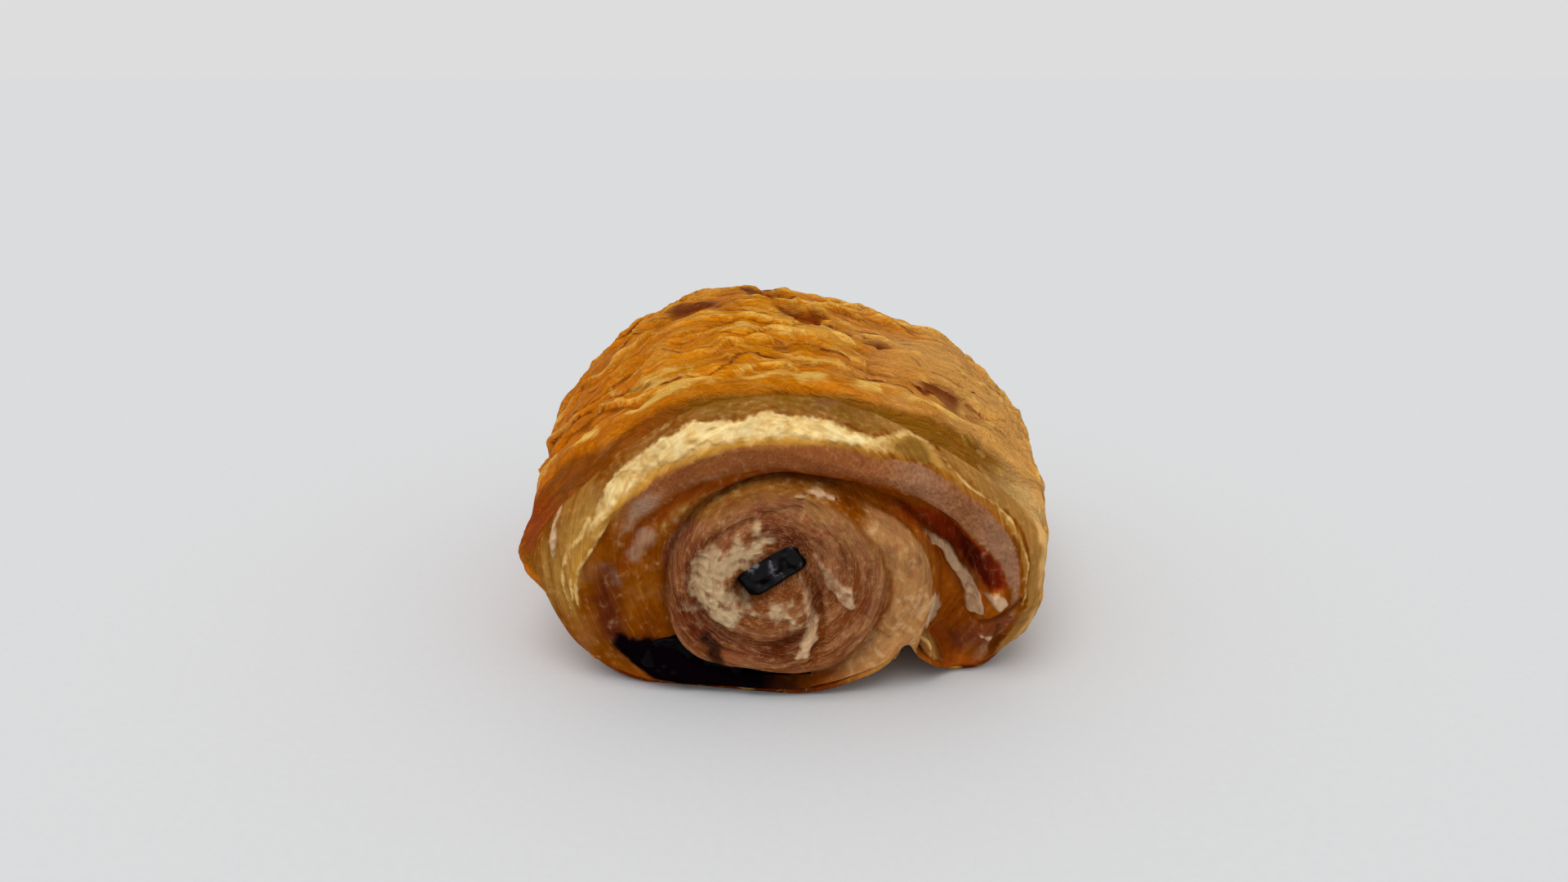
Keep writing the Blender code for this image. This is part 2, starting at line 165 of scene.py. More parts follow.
# The dark red crevice above the free end, its red partly the dough's own and partly painted shade, and the
# places with a painted whitish sheen.
CREVICE = [
    (13.3, 27.6, 0.5), (15.4, 26.2, 0.8), (19.8, 24.0, 1.2), (22.5, 22.4, 1.6), (25.7, 19.9, 1.9),
    (27.6, 18.2, 2.0), (28.8, 16.4, 1.4),
]
# Places with a painted whitish sheen.
PAINTED_SHEEN_PATHS = [
    [(-22.6, 22.8, 0.4), (-20.6, 25.0, 0.8), (-19.7, 27.1, 1.1), (-17.4, 28.5, 1.3), (-15.9, 29.8, 0.6)],
    [(-18.6, 23.4, 1.4), (-20.1, 20.6, 1.1)],
    [(-14.8, 25.8, 0.4), (-14.4, 25.8, 0.4)],
    [(-12.3, 31.1, 0.3), (-8.3, 32.2, 0.3)],
    [(-24.6, 19.2, 0.5), (-23.5, 18.0, 0.7), (-22.7, 16.5, 0.8)],
]
# The pale edges of single layers on the left, and the edge of the cream layer on the right.
CREAM_LINES = [
    [(-26.2, 25.4, 0.3), (-27.7, 22.6, 0.4), (-29.5, 20.6, 0.45), (-30.4, 17.9, 0.4), (-30.4, 14.8, 0.3),
     (-29.6, 11.8, 0.2)],
    [(-23.4, 25.6, 0.2), (-25.0, 23.0, 0.4), (-26.7, 20.4, 0.4), (-27.8, 18.7, 0.4),
     (-28.4, 16.4, 0.35), (-28.5, 14.0, 0.3), (-28.4, 12.2, 0.1)],
    [(-28.9, 18.3, 0.2), (-29.3, 15.6, 0.3), (-29.3, 13.2, 0.2)],
]
EDGE_LINE = [
    (10.9, 35.6, 0.2), (13.3, 35.8, 0.25), (17.3, 35.3, 0.25), (19.3, 34.4, 0.25), (21.6, 32.9, 0.25),
    (24.8, 29.8, 0.25), (29.0, 26.8, 0.25), (31.0, 24.7, 0.25), (32.5, 21.1, 0.3), (33.1, 19.2, 0.35),
    (33.0, 14.5, 0.25), (32.4, 11.0, 0.1),
]
# A burst bubble in the cream layer, the melted chocolate's smear, and a purple stain from it.
BUBBLE = [(15.4, 34.6, 0.7), (17.4, 34.2, 1.1), (19.0, 33.4, 0.8)]
SMEAR = [
    (-21.8, 7.3, 1.2), (-19.2, 6.0, 2.3), (-16.4, 4.3, 2.7), (-13.6, 3.4, 2.8), (-10.2, 2.6, 2.6),
    (-6.3, 2.0, 2.2), (-1.7, 1.4, 1.9), (3.4, 1.0, 1.1),
]
PURPLE = [(-10.4, 10.0, 0.9), (-9.6, 8.5, 1.2), (-9.2, 5.7, 1.2)]
# Hollows with painted shade, and the fluffy patch beside the upper baton.
PAINTED_SHADE_HOLLOWS = [
    [(-24.0, 18.4, 1.2), (-24.4, 13.9, 2.2), (-23.8, 9.4, 2.0)],
    [(-14.4, 17.3, 0.8), (-13.6, 14.3, 1.5), (-11.6, 11.2, 1.6), (-7.0, 8.4, 1.2)],
    [(-3.6, 27.3, 1.0), (-1.1, 25.8, 1.8), (1.6, 24.4, 1.7), (3.4, 22.6, 0.9)],
    [(-0.4, 8.2, 1.3), (1.4, 10.4, 0.9)],
]
CREAM_PATCH = [
    (-2.8, 25.2, 1.0), (-5.9, 22.2, 2.2), (-10.2, 20.4, 2.4), (-10.6, 16.6, 2.6), (-7.6, 14.6, 2.6),
    (-4.6, 14.0, 1.2), (-1.5, 14.2, 0.9), (1.0, 13.2, 0.9),
]

# Well-browned places on the crust: rows of x, y, z and radius.
SCORCHES = [
    (-14.0, -4.5, 48.3, 3.4), (-15.5, -9.9, 47.5, 1.6), (-3.4, 6.4, 48.1, 3.2), (-1.0, 0.0, 48.0, 2.4),
    (3.0, -5.0, 46.7, 2.4), (6.1, -6.5, 45.5, 2.0), (20.7, -19.8, 39.4, 1.9), (23.9, -19.6, 38.1, 2.2),
    (25.9, -20.6, 36.7, 1.9), (13.5, -10.5, 43.2, 2.0), (-8.0, 16.0, 46.0, 4.0), (20.0, 14.0, 41.0, 3.0),
    (-24.0, 9.0, 43.0, 3.0), (-36.5, -31.0, 23.5, 4.2),
]

# The batons.
BATON_CENTRE, BATON_WIDTH, BATON_THICKNESS, BATON_TILT = (-1.7, 19.8), 9.4, 4.6, 34.0
BATON_SQUARENESS, BATON_REACH = 4.0, 41.6
MELTED_OUTLINE = [
    (-20.6, 5.6), (-16.4, 2.7), (-8.6, 1.9), (-1.0, 1.9), (4.4, 2.6), (-4.4, 5.2), (-10.4, 8.0), (-17.4, 8.2),
]
MELTED_REACH = 39.6
BATON_END_RADIUS, BATON_UNEVEN = 0.9, 0.07
MELTED_LIFT, PIT_DEPTH = 0.9, 3.4  # how far the dough rises at the melted baton and sinks at the firm one

# The fine relief and the grids.
SHELL, EDGE_BULGE = 0.8, 0.4  # the crust's thickness, and how far its edge bulges as a share of that
LIP_RAGGED, LIP_TOOTH = 0.7, 3.0  # how far the crust's edge wanders, and the size of its teeth
LIP_ROLL, LIP_ROLL_WIDTH = 1.3, 3.5  # how far the crust's edge rolls inwards, over what width
LIP_ROLL_PART = 0.96  # how much of a quarter circle it follows, as the square of its width
FLAKE_SWELL, FLAKE_DROP = 1.4, 0.16  # the power by which a flake rises, and the share of its width that drops
# A flake's two marks are a painted highlight on its crest and painted shade at its foot.
FLAKE_CREST, FLAKE_FOOT = 0.09, 0.35  # the widths of its two marks, as shares of its width
FLAKE_LENGTH, FLAKE_SHIFT = 2.6, 3.7  # its length in widths, and how far off its neighbour's noise is read
WIDE_PITCH, FINE_PITCH, WIDE_HEIGHT, FINE_HEIGHT = 3.1, 1.5, 1.0, 0.4
CRINKLE_HEIGHT, CRINKLE_CELL = 0.24, (3.6, 1.9, 3.6)
SCORCH_SQUEEZE = (0.62, 1.25, 0.62)  # a scorched place is longer round the roll than along it
LIP_STEP, LIP_SWELL = 0.9, 0.5  # the crust's step down at the lip line, and its swelling before it
CURVE_STEPS = 40  # the straight steps between two points of an outline, before it is spaced evenly
FACE_COLUMNS, FACE_ROWS, FACE_SPACING, FACE_RIM = 640, 146, 0.82, 0.985
FACE_TUCK = 2.6  # the end face's rim stands this far behind the crust's edge
FACE_THICKNESS, FACE_INNER_SHARES = 3.0, (0.9, 0.5, 0.02)  # where its inner side lies, and its rings' sizes
CRUST_COLUMNS, CRUST_ROWS, EDGE_RINGS, INNER_ROWS, UNDERSIDE_SHARE = 400, 232, 3, 6, 0.3
BATON_COLUMNS, BATON_RINGS, BATON_FLAT = 160, 40, 0.7

# The factors that mix a noise cell's coordinates and its seed.
MIX_X, MIX_Y, MIX_Z, MIX_SEED, MIX_AGAIN = 374761393, 668265263, 974634777, 362437, 1274126177

# The sizes of the materials' patterns, in millimetres. Hairs and arcs lie so many to the radian of winding.
CRUST_STREAK_LENGTH, CRUST_STREAK_WIDTH, CRUST_GRAIN, CRUST_CLOUD = 8.3333, 1.9231, 0.71429, 14.286
DOUGH_BLOTCH, DOUGH_CLOUD, DOUGH_GRAIN = 2.6316, 6.25, 1.1111
HAIRS_ROUND, HAIR_THICKNESS, ARCS_ROUND, ARC_THICKNESS = 50.0, 0.41667, 2.6, 0.66667
CHOCOLATE_SPECK, FLOOR_GRAIN = 1.6129, 1.1111
STAIN_RAGGED = 0.9  # how strongly a texture breaks up the edge of a stain

# The studio: the floor's reach in metres, the camera's place in millimetres.
FLOOR_REACH, SKY_COLOUR = 40.0, "#dddddd"
SUN_STRENGTH, SUN_SPREAD, SUN_TURN = 1.28, 42, (24, -8, 0)
CAMERA_LENS, CAMERA_PLACE, CAMERA_TURN = 24.44, (SIDE_SHIFT, -169.0, 82.0), (71, 0, 0)


def lattice(cell, seed):
    """A repeatable number from 0 to 1 for each whole-numbered cell: its coordinates times large odd numbers,
    with the bits folded over twice.
    """
    mixed = cell[..., 0] * MIX_X + cell[..., 1] * MIX_Y + cell[..., 2] * MIX_Z + seed * MIX_SEED
    mixed = (mixed ^ (mixed >> 13)) * MIX_AGAIN & 0x7FFFFFFF
    return ((mixed ^ (mixed >> 16)) & 0xFFFF) / 65535.0


def noise(points, seed):
    """Smooth noise from -1 to 1: the numbers at the eight corners of a point's cell, blended by smoothstep.

    Points in millimetres are divided by the size of a cell first, and each noise has a seed of its own.
    """
    cell = np.floor(points).astype(np.int64)
    part = points - cell
    part = part * part * (3 - 2 * part)
    total = np.zeros(points.shape[:-1])
    for corner in np.ndindex(2, 2, 2):
        weight = np.prod(np.where(corner, part, 1 - part), axis=-1)
        total += weight * lattice(cell + np.array(corner), seed)
    return 2 * total - 1


def smoothstep(value):
    """0 below 0, 1 above 1, and the S-curve 3v^2 - 2v^3 between them."""
    value = np.clip(value, 0, 1)
    return value * value * (3 - 2 * value)


def rise(distance, width, lead=0.0):
    """From 0 to 1 over a width by smoothstep. The lead is the share of the width before distance 0."""
    return smoothstep(distance / width + lead)


def bump(distance, width):
    """A bell curve: 1 where the distance is 0, and near 0 beyond twice the width."""
    return np.exp(-((distance / width) ** 2))


def through(table, at):
    """A smooth curve through (position, value) pairs: cubic pieces with slopes from their neighbours."""
    position, value = np.array(table, float).T
    slope = np.gradient(value, position)
    at = np.clip(at, position[0], position[-1])
    piece = np.clip(np.searchsorted(position, at, side="right") - 1, 0, len(position) - 2)
    step = position[piece + 1] - position[piece]
    part = (at - position[piece]) / step
    return (
        (2 * part**3 - 3 * part**2 + 1) * value[piece]
        + (part**3 - 2 * part**2 + part) * step * slope[piece]
        + (3 * part**2 - 2 * part**3) * value[piece + 1]
        + (part**3 - part**2) * step * slope[piece + 1]
    )


def closed_curve(points, count):
    """count points, evenly spaced along the closed Catmull-Rom curve through the given points."""
    here = np.array(points, float)[:, None, :]
    before, after, beyond = np.roll(here, 1, 0), np.roll(here, -1, 0), np.roll(here, -2, 0)
    part = np.linspace(0, 1, CURVE_STEPS, endpoint=False)[None, :, None]
    square, cube = 2 * before - 5 * here + 4 * after - beyond, 3 * (here - after) + beyond - before
    dense = (0.5 * (2 * here + (after - before) * part + square * part**2 + cube * part**3)).reshape(-1, 2)
    dense = np.vstack([dense, dense[:1]])
    length = np.concatenate([[0], np.cumsum(np.linalg.norm(np.diff(dense, axis=0), axis=1))])
    at = np.linspace(0, length[-1], count, endpoint=False)
    return np.stack([np.interp(at, length, dense[:, k]) for k in (0, 1)], axis=-1)


def normals(outline):
    """The outward normals of an anticlockwise outline: its tangents turned by a quarter."""
    tangent = np.roll(outline, -1, 0) - np.roll(outline, 1, 0)
    normal = np.stack([tangent[:, 1], -tangent[:, 0]], axis=-1)
    return normal / np.linalg.norm(normal, axis=-1, keepdims=True)


def section(outline, station):
    """The outline at a station, flat where it meets the floor: lower and narrower towards the roll's ends."""
    share = np.minimum(np.abs(station) / CREST_STATION, TAPER_LIMIT) ** TAPER_POWER
    x = outline[..., 0] * (1 - WIDTH_LOSS * share) + SIDE_DRIFT * share
    z = np.maximum(outline[..., 1], 0) * (1 - HEIGHT_LOSS * share)
    return np.stack([x, z], axis=-1)


def side_blend(direction, top, left, right, under):
    """A value that turns smoothly from top to left, under and right with the direction from the focus."""
    angle = np.arctan2(direction[..., 1], direction[..., 0])
    up = np.clip(np.sin(angle), 0, 1) ** 2
    down = np.clip(-np.sin(angle), 0, 1) ** 2
    rightness = smoothstep(0.5 + 0.8 * np.cos(angle))
    return up * top + down * under + (1 - up - down) * (rightness * right + (1 - rightness) * left)


def tail_setback(x, z):
    """How much nearer the middle an end face stands at the free end's tip, on the lower right."""
    return TAIL_SETBACK * rise(x - TAIL_START, TAIL_WIDTH) * rise(-z, TAIL_HEIGHT, 1)


def polar(x, z):
    """Distance from the roll's centre, and the angle, which starts anew below the notch and the free end."""
    across, up = x - ROLL_CENTRE[0], z - ROLL_CENTRE[1]
    radius = np.hypot(across, up)
    angle = np.degrees(np.arctan2(up, across))
    start = SEAM[0][0] - TAIL_ANGLE * (radius > TAIL_RADIUS)
    return radius, np.where(angle < start, angle + 360, angle)


def turn_height(x, z):
    """How far the rolled turns stand out: each layer's height and crown, less the seams and the open gap."""
    radius, angle = polar(x, z)
    height = through(LAYER_HEIGHT, angle)
    for turn in range(TURNS):
        along = angle + 360 * turn
        seam = through(SEAM, along)
        exists = rise(SEAM[-1][0] - along, SEAM_END_FADE)
        begun = rise(along - SEAM[0][0], SEAM_END_FADE)
        inside = rise(seam - radius, STEP_WIDTH, STEP_LEAD)
        height += exists * inside * (through(LAYER_HEIGHT, along + 360) - through(LAYER_HEIGHT, along))
        height -= exists * through(SEAM_DEPTH, along) * bump(radius - seam, SEAM_WIDTH)
        height += exists * begun * LAYER_CROWN * bump(seam - radius - CROWN_IN, CROWN_WIDTH)
    gap = through(GAP, angle)
    into_gap = (radius - through(SEAM, angle)) / np.maximum(gap, GAP_LEAST)
    valley = rise(into_gap, GAP_INNER_WALL) * rise(GAP_OUTER_EDGE - into_gap, GAP_OUTER_WALL)
    return height - GAP_DEPTH * rise(gap, GAP_FULL_WIDTH) * valley


def crust_edge(toward):
    """How far the crust's edge stands from the middle, in each direction from the focus."""
    return side_blend(toward, LIP_TOP, LIP_SIDE, LIP_SIDE, LIP_UNDER)


def end_face(ring, rim, share):
    """The end face's distance from the middle at each ring point: from the crust's edge up over the ledge,
    and on to the rolled turns. Returns also how far inside the rim each point lies.
    """
    toward = rim - FOCUS
    inset = (1 - share) * np.linalg.norm(toward, axis=-1)
    width = side_blend(toward, LEDGE_WIDTH_TOP, LEDGE_WIDTH_LEFT, LEDGE_WIDTH_RIGHT, LEDGE_WIDTH_UNDER)
    lip = crust_edge(toward)
    ledge = side_blend(toward, LEDGE_TOP, LEDGE_TOP, LEDGE_TOP, LEDGE_UNDER)
    up_ledge = np.clip(inset / width, 0, 1) ** LEDGE_CURVE
    onto = rise(inset - LEDGE_INNER_SHARE * width, STEP_WIDTH)
    x, z = ring[..., 0], ring[..., 1]
    out = (lip + (ledge - lip) * up_ledge) * (1 - onto) + turn_height(x, z) * onto - tail_setback(x, z)
    return out, inset


def add_crust_relief(points):
    """Pushes points out from the axis by swells, sharp-edged crags and the torn edge on the left."""
    x, y, z = np.moveaxis(points, -1, 0)
    crag = 1 - 2 * np.abs(noise(points / np.array([CRAG_ACROSS, CRAG_ALONG, CRAG_ACROSS]), 3))
    swell = noise(points / SWELL_LENGTH, 8)
    fade = rise(LIP_UNDER - np.abs(y), RELIEF_END_FADE) * rise(z - RELIEF_FLOOR, RELIEF_FLOOR_FADE)
    flap = bump(z - FLAP_HEIGHT, FLAP_TALL) * bump(y - FLAP_STATION, FLAP_LONG) * rise(-x, FLAP_SIDE)
    outward = np.stack([x - ROLL_CENTRE[0], np.zeros_like(y), z - ROLL_CENTRE[1]], axis=-1)
    outward /= np.maximum(np.linalg.norm(outward, axis=-1, keepdims=True), 1.0)
    push = 0.5 * (CRAG_HEIGHT * crag + SWELL_HEIGHT * swell) * fade + FLAP_REACH * flap
    return points + outward * push[..., None]


def between(angle, first, last, fade):
    """1 between two angles, falling off to 0 over the fade outside them."""
    return rise(angle - first, fade, 1) * rise(last - angle, fade, 1)


def within(path, x, z):
    """How far inside the edge of a path of x, z and half-width each point is: below 0 outside it."""
    best = np.full(x.shape, -np.inf)
    for (x0, z0, w0), (x1, z1, w1) in zip(path[:-1], path[1:]):
        along = ((x - x0) * (x1 - x0) + (z - z0) * (z1 - z0)) / ((x1 - x0) ** 2 + (z1 - z0) ** 2)
        along = np.clip(along, 0, 1)
        distance = np.hypot(x - x0 - along * (x1 - x0), z - z0 - along * (z1 - z0))
        best = np.maximum(best, w0 + along * (w1 - w0) - distance)
    return best


def within_any(paths, x, z):
    """How far inside the edge of the nearest of several paths each point is."""
    return np.max([within(path, x, z) for path in paths], axis=0)


def flakes(points, pitch, seed):
    """Overlapping flakes round the roll: each rises slowly towards the front for a pitch and drops off there.

    Noise bends the flakes and fades each one in and out round the roll. Returns the height, and the marks of
    the painted highlight on the crest and of the painted shade at the foot, each from 0 to 1.
    """
    x, y, z = np.moveaxis(points, -1, 0)
    bend = 1.3 * noise(points / (4.0 * pitch), seed) + 0.5 * noise(points / (1.8 * pitch), seed + 1)
    phase = bend + 0.22 * noise(points / (0.9 * pitch), seed + 3) - y / pitch
    number = np.floor(phase)
    part = phase - number
    length = FLAKE_LENGTH * pitch
    along = np.stack([x / length, number * FLAKE_SHIFT, z / length], axis=-1)
    strength = smoothstep(0.5 + 1.1 * noise(along, seed + 2))
    height = strength * part**FLAKE_SWELL * rise(1 - part, FLAKE_DROP)
    crest_highlight = strength * bump(part - 1 + FLAKE_DROP, FLAKE_CREST)
    # The last mark is painted shade in the trough at the foot of each flake's drop.
    return height, crest_highlight, strength * (1 - rise(part, FLAKE_FOOT))


def spots(points, places):
    """A bell curve about each place of x, y, z and radius, drawn out round the roll and uneven by noise."""
    share = np.zeros(points.shape[:-1])
    uneven = 1 + 0.5 * noise(points / 1.7, 61)
    for *centre, radius in places:
        offset = (points - np.array(centre)) * SCORCH_SQUEEZE
        share = np.maximum(share, bump(np.linalg.norm(offset, axis=-1) * uneven, radius))
    return share


def ring_mesh(name, rows, attributes, joined=False):
    """A closed mesh through rings of points, kept inside the box of the solids that it stands for.

    The last ring joins the first, or a pole in its middle closes each end ring. The attributes hold a value
    or a vector for each point.
    """
    count, columns = rows.shape[:2]
    low, high = (np.array(corner) / MM - (SIDE_SHIFT, 0, 0) for corner in cad_bounds)
    points = np.clip(rows, low, high).reshape(-1, 3)
    values = {key: value.reshape(count * columns, -1) for key, value in attributes.items()}
    index = np.arange(count * columns).reshape(count, columns)
    faces = []
    if joined:
        index = np.vstack([index, index[:1]])
    else:
        first, last = index[0], index[-1]
        points = np.vstack([points, points[first].mean(0), points[last].mean(0)])
        values = {key: np.vstack([v, v[first].mean(0), v[last].mean(0)]) for key, v in values.items()}
        pole = count * columns
        faces += [(pole, a, b) for a, b in zip(first, np.roll(first, -1))]
        faces += [(pole + 1, b, a) for a, b in zip(last, np.roll(last, -1))]
    following = np.roll(index, -1, axis=1)
    quads = np.stack([index[:-1], index[1:], following[1:], following[:-1]], axis=-1).reshape(-1, 4)
    mesh = bpy.data.meshes.new(name)
    mesh.from_pydata(((points + (SIDE_SHIFT, 0, 0)) * MM).tolist(), [], quads.tolist() + faces)
    for key, value in values.items():
        vector = value.shape[1] == 3
        layer = mesh.attributes.new(key, "FLOAT_VECTOR" if vector else "FLOAT", "POINT")
        layer.data.foreach_set("vector" if vector else "value", value.astype(np.float32).ravel())
    mesh.shade_smooth()
    return mesh


def place(name, mesh, material, node):
    """Puts a mesh in the scene as a piece that stands for a solid of the frame and moves with it."""
    thing = bpy.data.objects.new(name, mesh)
    mesh.materials.append(material)
    bpy.context.scene.collection.objects.link(thing)
    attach(thing, "root")
    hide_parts(node)
    return thing


def baton_shape(x, z):
    """The upper baton's superellipse: under 1 inside it, 1 on its outline."""
    tilt = np.radians(BATON_TILT)
    across, up = x - BATON_CENTRE[0], z - BATON_CENTRE[1]
    wide = np.abs(across * np.cos(tilt) + up * np.sin(tilt)) / (BATON_WIDTH / 2)
    thick = np.abs(up * np.cos(tilt) - across * np.sin(tilt)) / (BATON_THICKNESS / 2)
    return (wide**BATON_SQUARENESS + thick**BATON_SQUARENESS) ** (1 / BATON_SQUARENESS)


def wound(at, pieces, thickness):
    """Where noise that follows the winding is read: so many pieces to the radian, layers of a thickness."""
    return np.stack([np.cos(at.turn) * pieces, np.sin(at.turn) * pieces, at.radius / thickness], axis=-1)


def face_view(x, z, seed):
    """What the marks and the relief of an end share: each point's place about the roll's centre, the edges of
    the bands in its direction, and the noises that make those edges wander.
    """
    radius, angle = polar(x, z)
    flat = np.stack([x, np.zeros_like(x), z], axis=-1)
    at = SimpleNamespace(x=x, z=z, flat=flat, radius=radius, angle=angle, turn=np.radians(angle), seed=seed)
    at.wander = 0.45 * noise(flat / 2.6, seed) + 0.25 * noise(flat / 1.1, seed + 1)
    at.ragged = at.wander + 0.35 * noise(flat / 0.55, seed + 9)
    at.slow = noise(flat / 6.0, seed + 2)
    at.streaks = noise(wound(at, 3.4, 0.7), seed + 3)
    at.top, at.foot, at.band = (through(table, angle) for table in (CREAM_TOP, CREAM_FOOT, BAND_FOOT))
    at.seam, at.inner_seam = through(SEAM, angle), through(SEAM, angle + 360)
    at.beyond_top = radius + 0.5 * at.ragged - at.top
    at.roll_edge = through(ROLL_EDGE, angle) + 0.3 * at.wander
    at.strip = within_any(CLEAN_STRIPS, x, z)
    return at


# In the marks and the relief below, widths and distances are millimetres, and angles are degrees. The factor
# in front of a mark is the most that it reaches.


def sheet_marks(at):
    """The bands of the sheet's end as shares from 0 to 1: the dough above the cream layer, the layer with its
    gold foot and pale edges, the mauve band, the groove and the valley below it, and the browned bottom.
    """
    angle, radius, top, foot, band = at.angle, at.radius, at.top, at.foot, at.band
    marks = {}
    # The terrace's brown is partly the baked dough's own and partly painted shade under the crust's lip.
    marks["terrace"] = rise(at.beyond_top, 0.9) * between(angle, 28, 112, 24)
    marks["buttery"] = rise(at.beyond_top, 0.9) * between(angle, -40, 38, 26)
    marks["tan"] = rise(radius - top - 1.4 + at.wander, 2.0) * between(angle, -40, 24, 18)
    marks["veil"] = 0.35 * bump(np.maximum(at.beyond_top - 0.2, 0), 1.2) * between(angle, 62, 150, 20)
    marks["cream"] = rise(-at.beyond_top, 0.5, 0.5) * rise(radius + 0.5 * at.wander - foot, 1.8, 0.3)
    marks["cream"] *= between(angle, 56, 158, 18)
    marks["edge"] = rise(within_any(CREAM_LINES + [EDGE_LINE], at.x, at.z) + 0.2 * at.ragged, 0.5, 0.25)
    marks["edge"] *= 0.5 + 0.5 * smoothstep(0.5 + 1.3 * noise(at.flat / 1.6, at.seed + 12))
    marks["bubble"] = 0.7 * rise(within(BUBBLE, at.x, at.z) + 0.2 * at.wander, 0.9, 0.4)
    marks["gold"] = 0.85 * bump(radius + 0.2 * at.wander - foot - 0.1, 0.8) * between(angle, 10, 182, 20)
    marks["gold"] *= 0.4 + 0.6 * rise(angle - 40, 30)
    on_left = between(angle, 166, 193, 14) * rise(top + 6.0 - radius, 4.0) * (0.85 + 0.35 * at.streaks)
    on_right = rise(top - radius, 0.8, 0.5) * between(angle, -30, 62, 14)
    marks["sheer"] = 0.8 * rise(radius - foot, 0.8) * np.maximum(on_right, on_left)
    in_band = rise(foot - radius, 0.8) * rise(radius - band + 0.5 * at.streaks, 1.8, 0.5)
    marks["band"] = in_band * between(angle, -18, 148, 30)
    marks["blush"] = in_band * between(angle, -24, 26, 34) * (0.75 + 0.4 * at.slow)
    marks["groove"] = bump(radius - band + 0.9, 1.1) * between(angle, 24, 170, 30)
    marks["valley"] = rise(radius - at.seam, 0.8) * rise(band - radius, 2) * between(angle, -34, 40, 20)
    marks["bottom"] = 0.9 * rise(4.0 - at.z + at.wander, 3.0)
    return marks


def roll_marks(at):
    """The rolled turns as shares from 0 to 1: their dough, its layers, the rim above with painted light, the
    smooth shoulder on the right and below, the fluffy patch beside the baton, and painted shade in the
    hollows.
    """
    angle, radius = at.angle, at.radius
    marks = {}
    marks["roll"] = rise(at.roll_edge - radius, 1.2, 0.3)
    marks["layers"] = (0.5 + 0.5 * at.streaks) * marks["roll"] * rise(radius, 7)
    # The upper rim of the roll is paler as painted light on its upward-facing edge.
    marks["rim"] = marks["roll"] * bump(np.maximum(at.roll_edge - radius - 1.4 + 0.6 * at.slow, 0), 1.6)
    marks["rim"] *= between(angle, 4, 126, 34) * (0.8 + 0.3 * at.slow)
    beside = between(angle, -40, 22, 16) * rise(radius - at.roll_edge, 1.2, 0.3)
    beside = beside * rise(at.seam - radius, 0.7, 0.4) * rise(40 - angle, 20)
    below = between(angle, 318, 400, 36) * rise(radius - at.seam, 1.2, 0.3)
    marks["shoulder"] = np.maximum(beside, below)
    patch = within(CREAM_PATCH, at.x, at.z) + 0.9 * at.streaks + 0.7 * at.ragged
    marks["patch"] = 0.85 * rise(patch + 1.3 * noise(at.flat / 1.2, at.seed + 11), 2.4, 0.4)
    # Painted shade in the hollows and along the inner seam on the left.
    hollow = 0.85 * rise(within_any(PAINTED_SHADE_HOLLOWS, at.x, at.z) + 0.5 * at.wander, 4.0, 0.5)
    inner = 0.8 * bump(radius - at.inner_seam - 1.0, 1.4) * between(angle, 168, 262, 30)
    marks["shade"] = np.maximum(inner, hollow)
    return marks


def tear_marks(at):
    """What tearing and baking left, with painted light and shade, as shares from 0 to 1: pale strips, a
    painted whitish sheen, the free end's blush, the red crevice above it with painted shade, painted shade in
    the creases, and the stains round both chocolate bars.
    """
    x, z, ragged = at.x, at.z, at.ragged
    marks = {}
    torn = within_any(TORN_STRIPS, x, z) + 0.4 * ragged + 0.25 * at.streaks
    marks["pale"] = (1 - 0.5 * rise(10 - at.radius, 1.5)) * rise(torn, 0.8, 0.35)
    marks["pale"] = np.maximum(marks["pale"], rise(at.strip + 0.3 * ragged, 0.4, 0.35))
    # A painted whitish sheen on the left.
    marks["painted_sheen"] = 0.45 * rise(within_any(PAINTED_SHEEN_PATHS, x, z) + 0.7 * ragged, 1.6, 0.45)
    marks["rosy"] = 0.8 * rise(within(TAIL_BLUSH, x, z) + 0.8 * ragged, 1.6, 0.5)
    # The crevice's red is partly the dough's own colour and partly painted shade.
    marks["crimson"] = rise(within(CREVICE, x, z) + 0.4 * at.streaks, 1.6, 0.5)
    marks["crimson"] *= (1 - rise(at.strip, 0.3, 0.7)) * (0.5 + 0.5 * rise(x - 14, 12))
    # Deeper painted shade towards the crevice's right end.
    marks["painted_crevice_shade"] = marks["crimson"] * rise(x - 19, 8)
    # The creases, painted darker as shade; the same mask also sinks them in the relief.
    marks["crease_and_painted_shade"] = rise(within_any(CREASES, x, z), 0.9, 0.5)
    dark = 1.4 * rise(within(SMEAR, x, z) + 0.6 * ragged, 2.2, 0.7)
    dark = np.maximum(dark, 0.6 * rise(1.35 - baton_shape(x, z) + 0.1 * ragged, 0.3))
    dark *= 1 - 0.45 * rise(x + 9, 10)
    marks["stain"] = np.maximum(dark, 0.75 * rise(within(PURPLE, x, z) + 0.6 * ragged, 1.6, 0.5))
    return marks


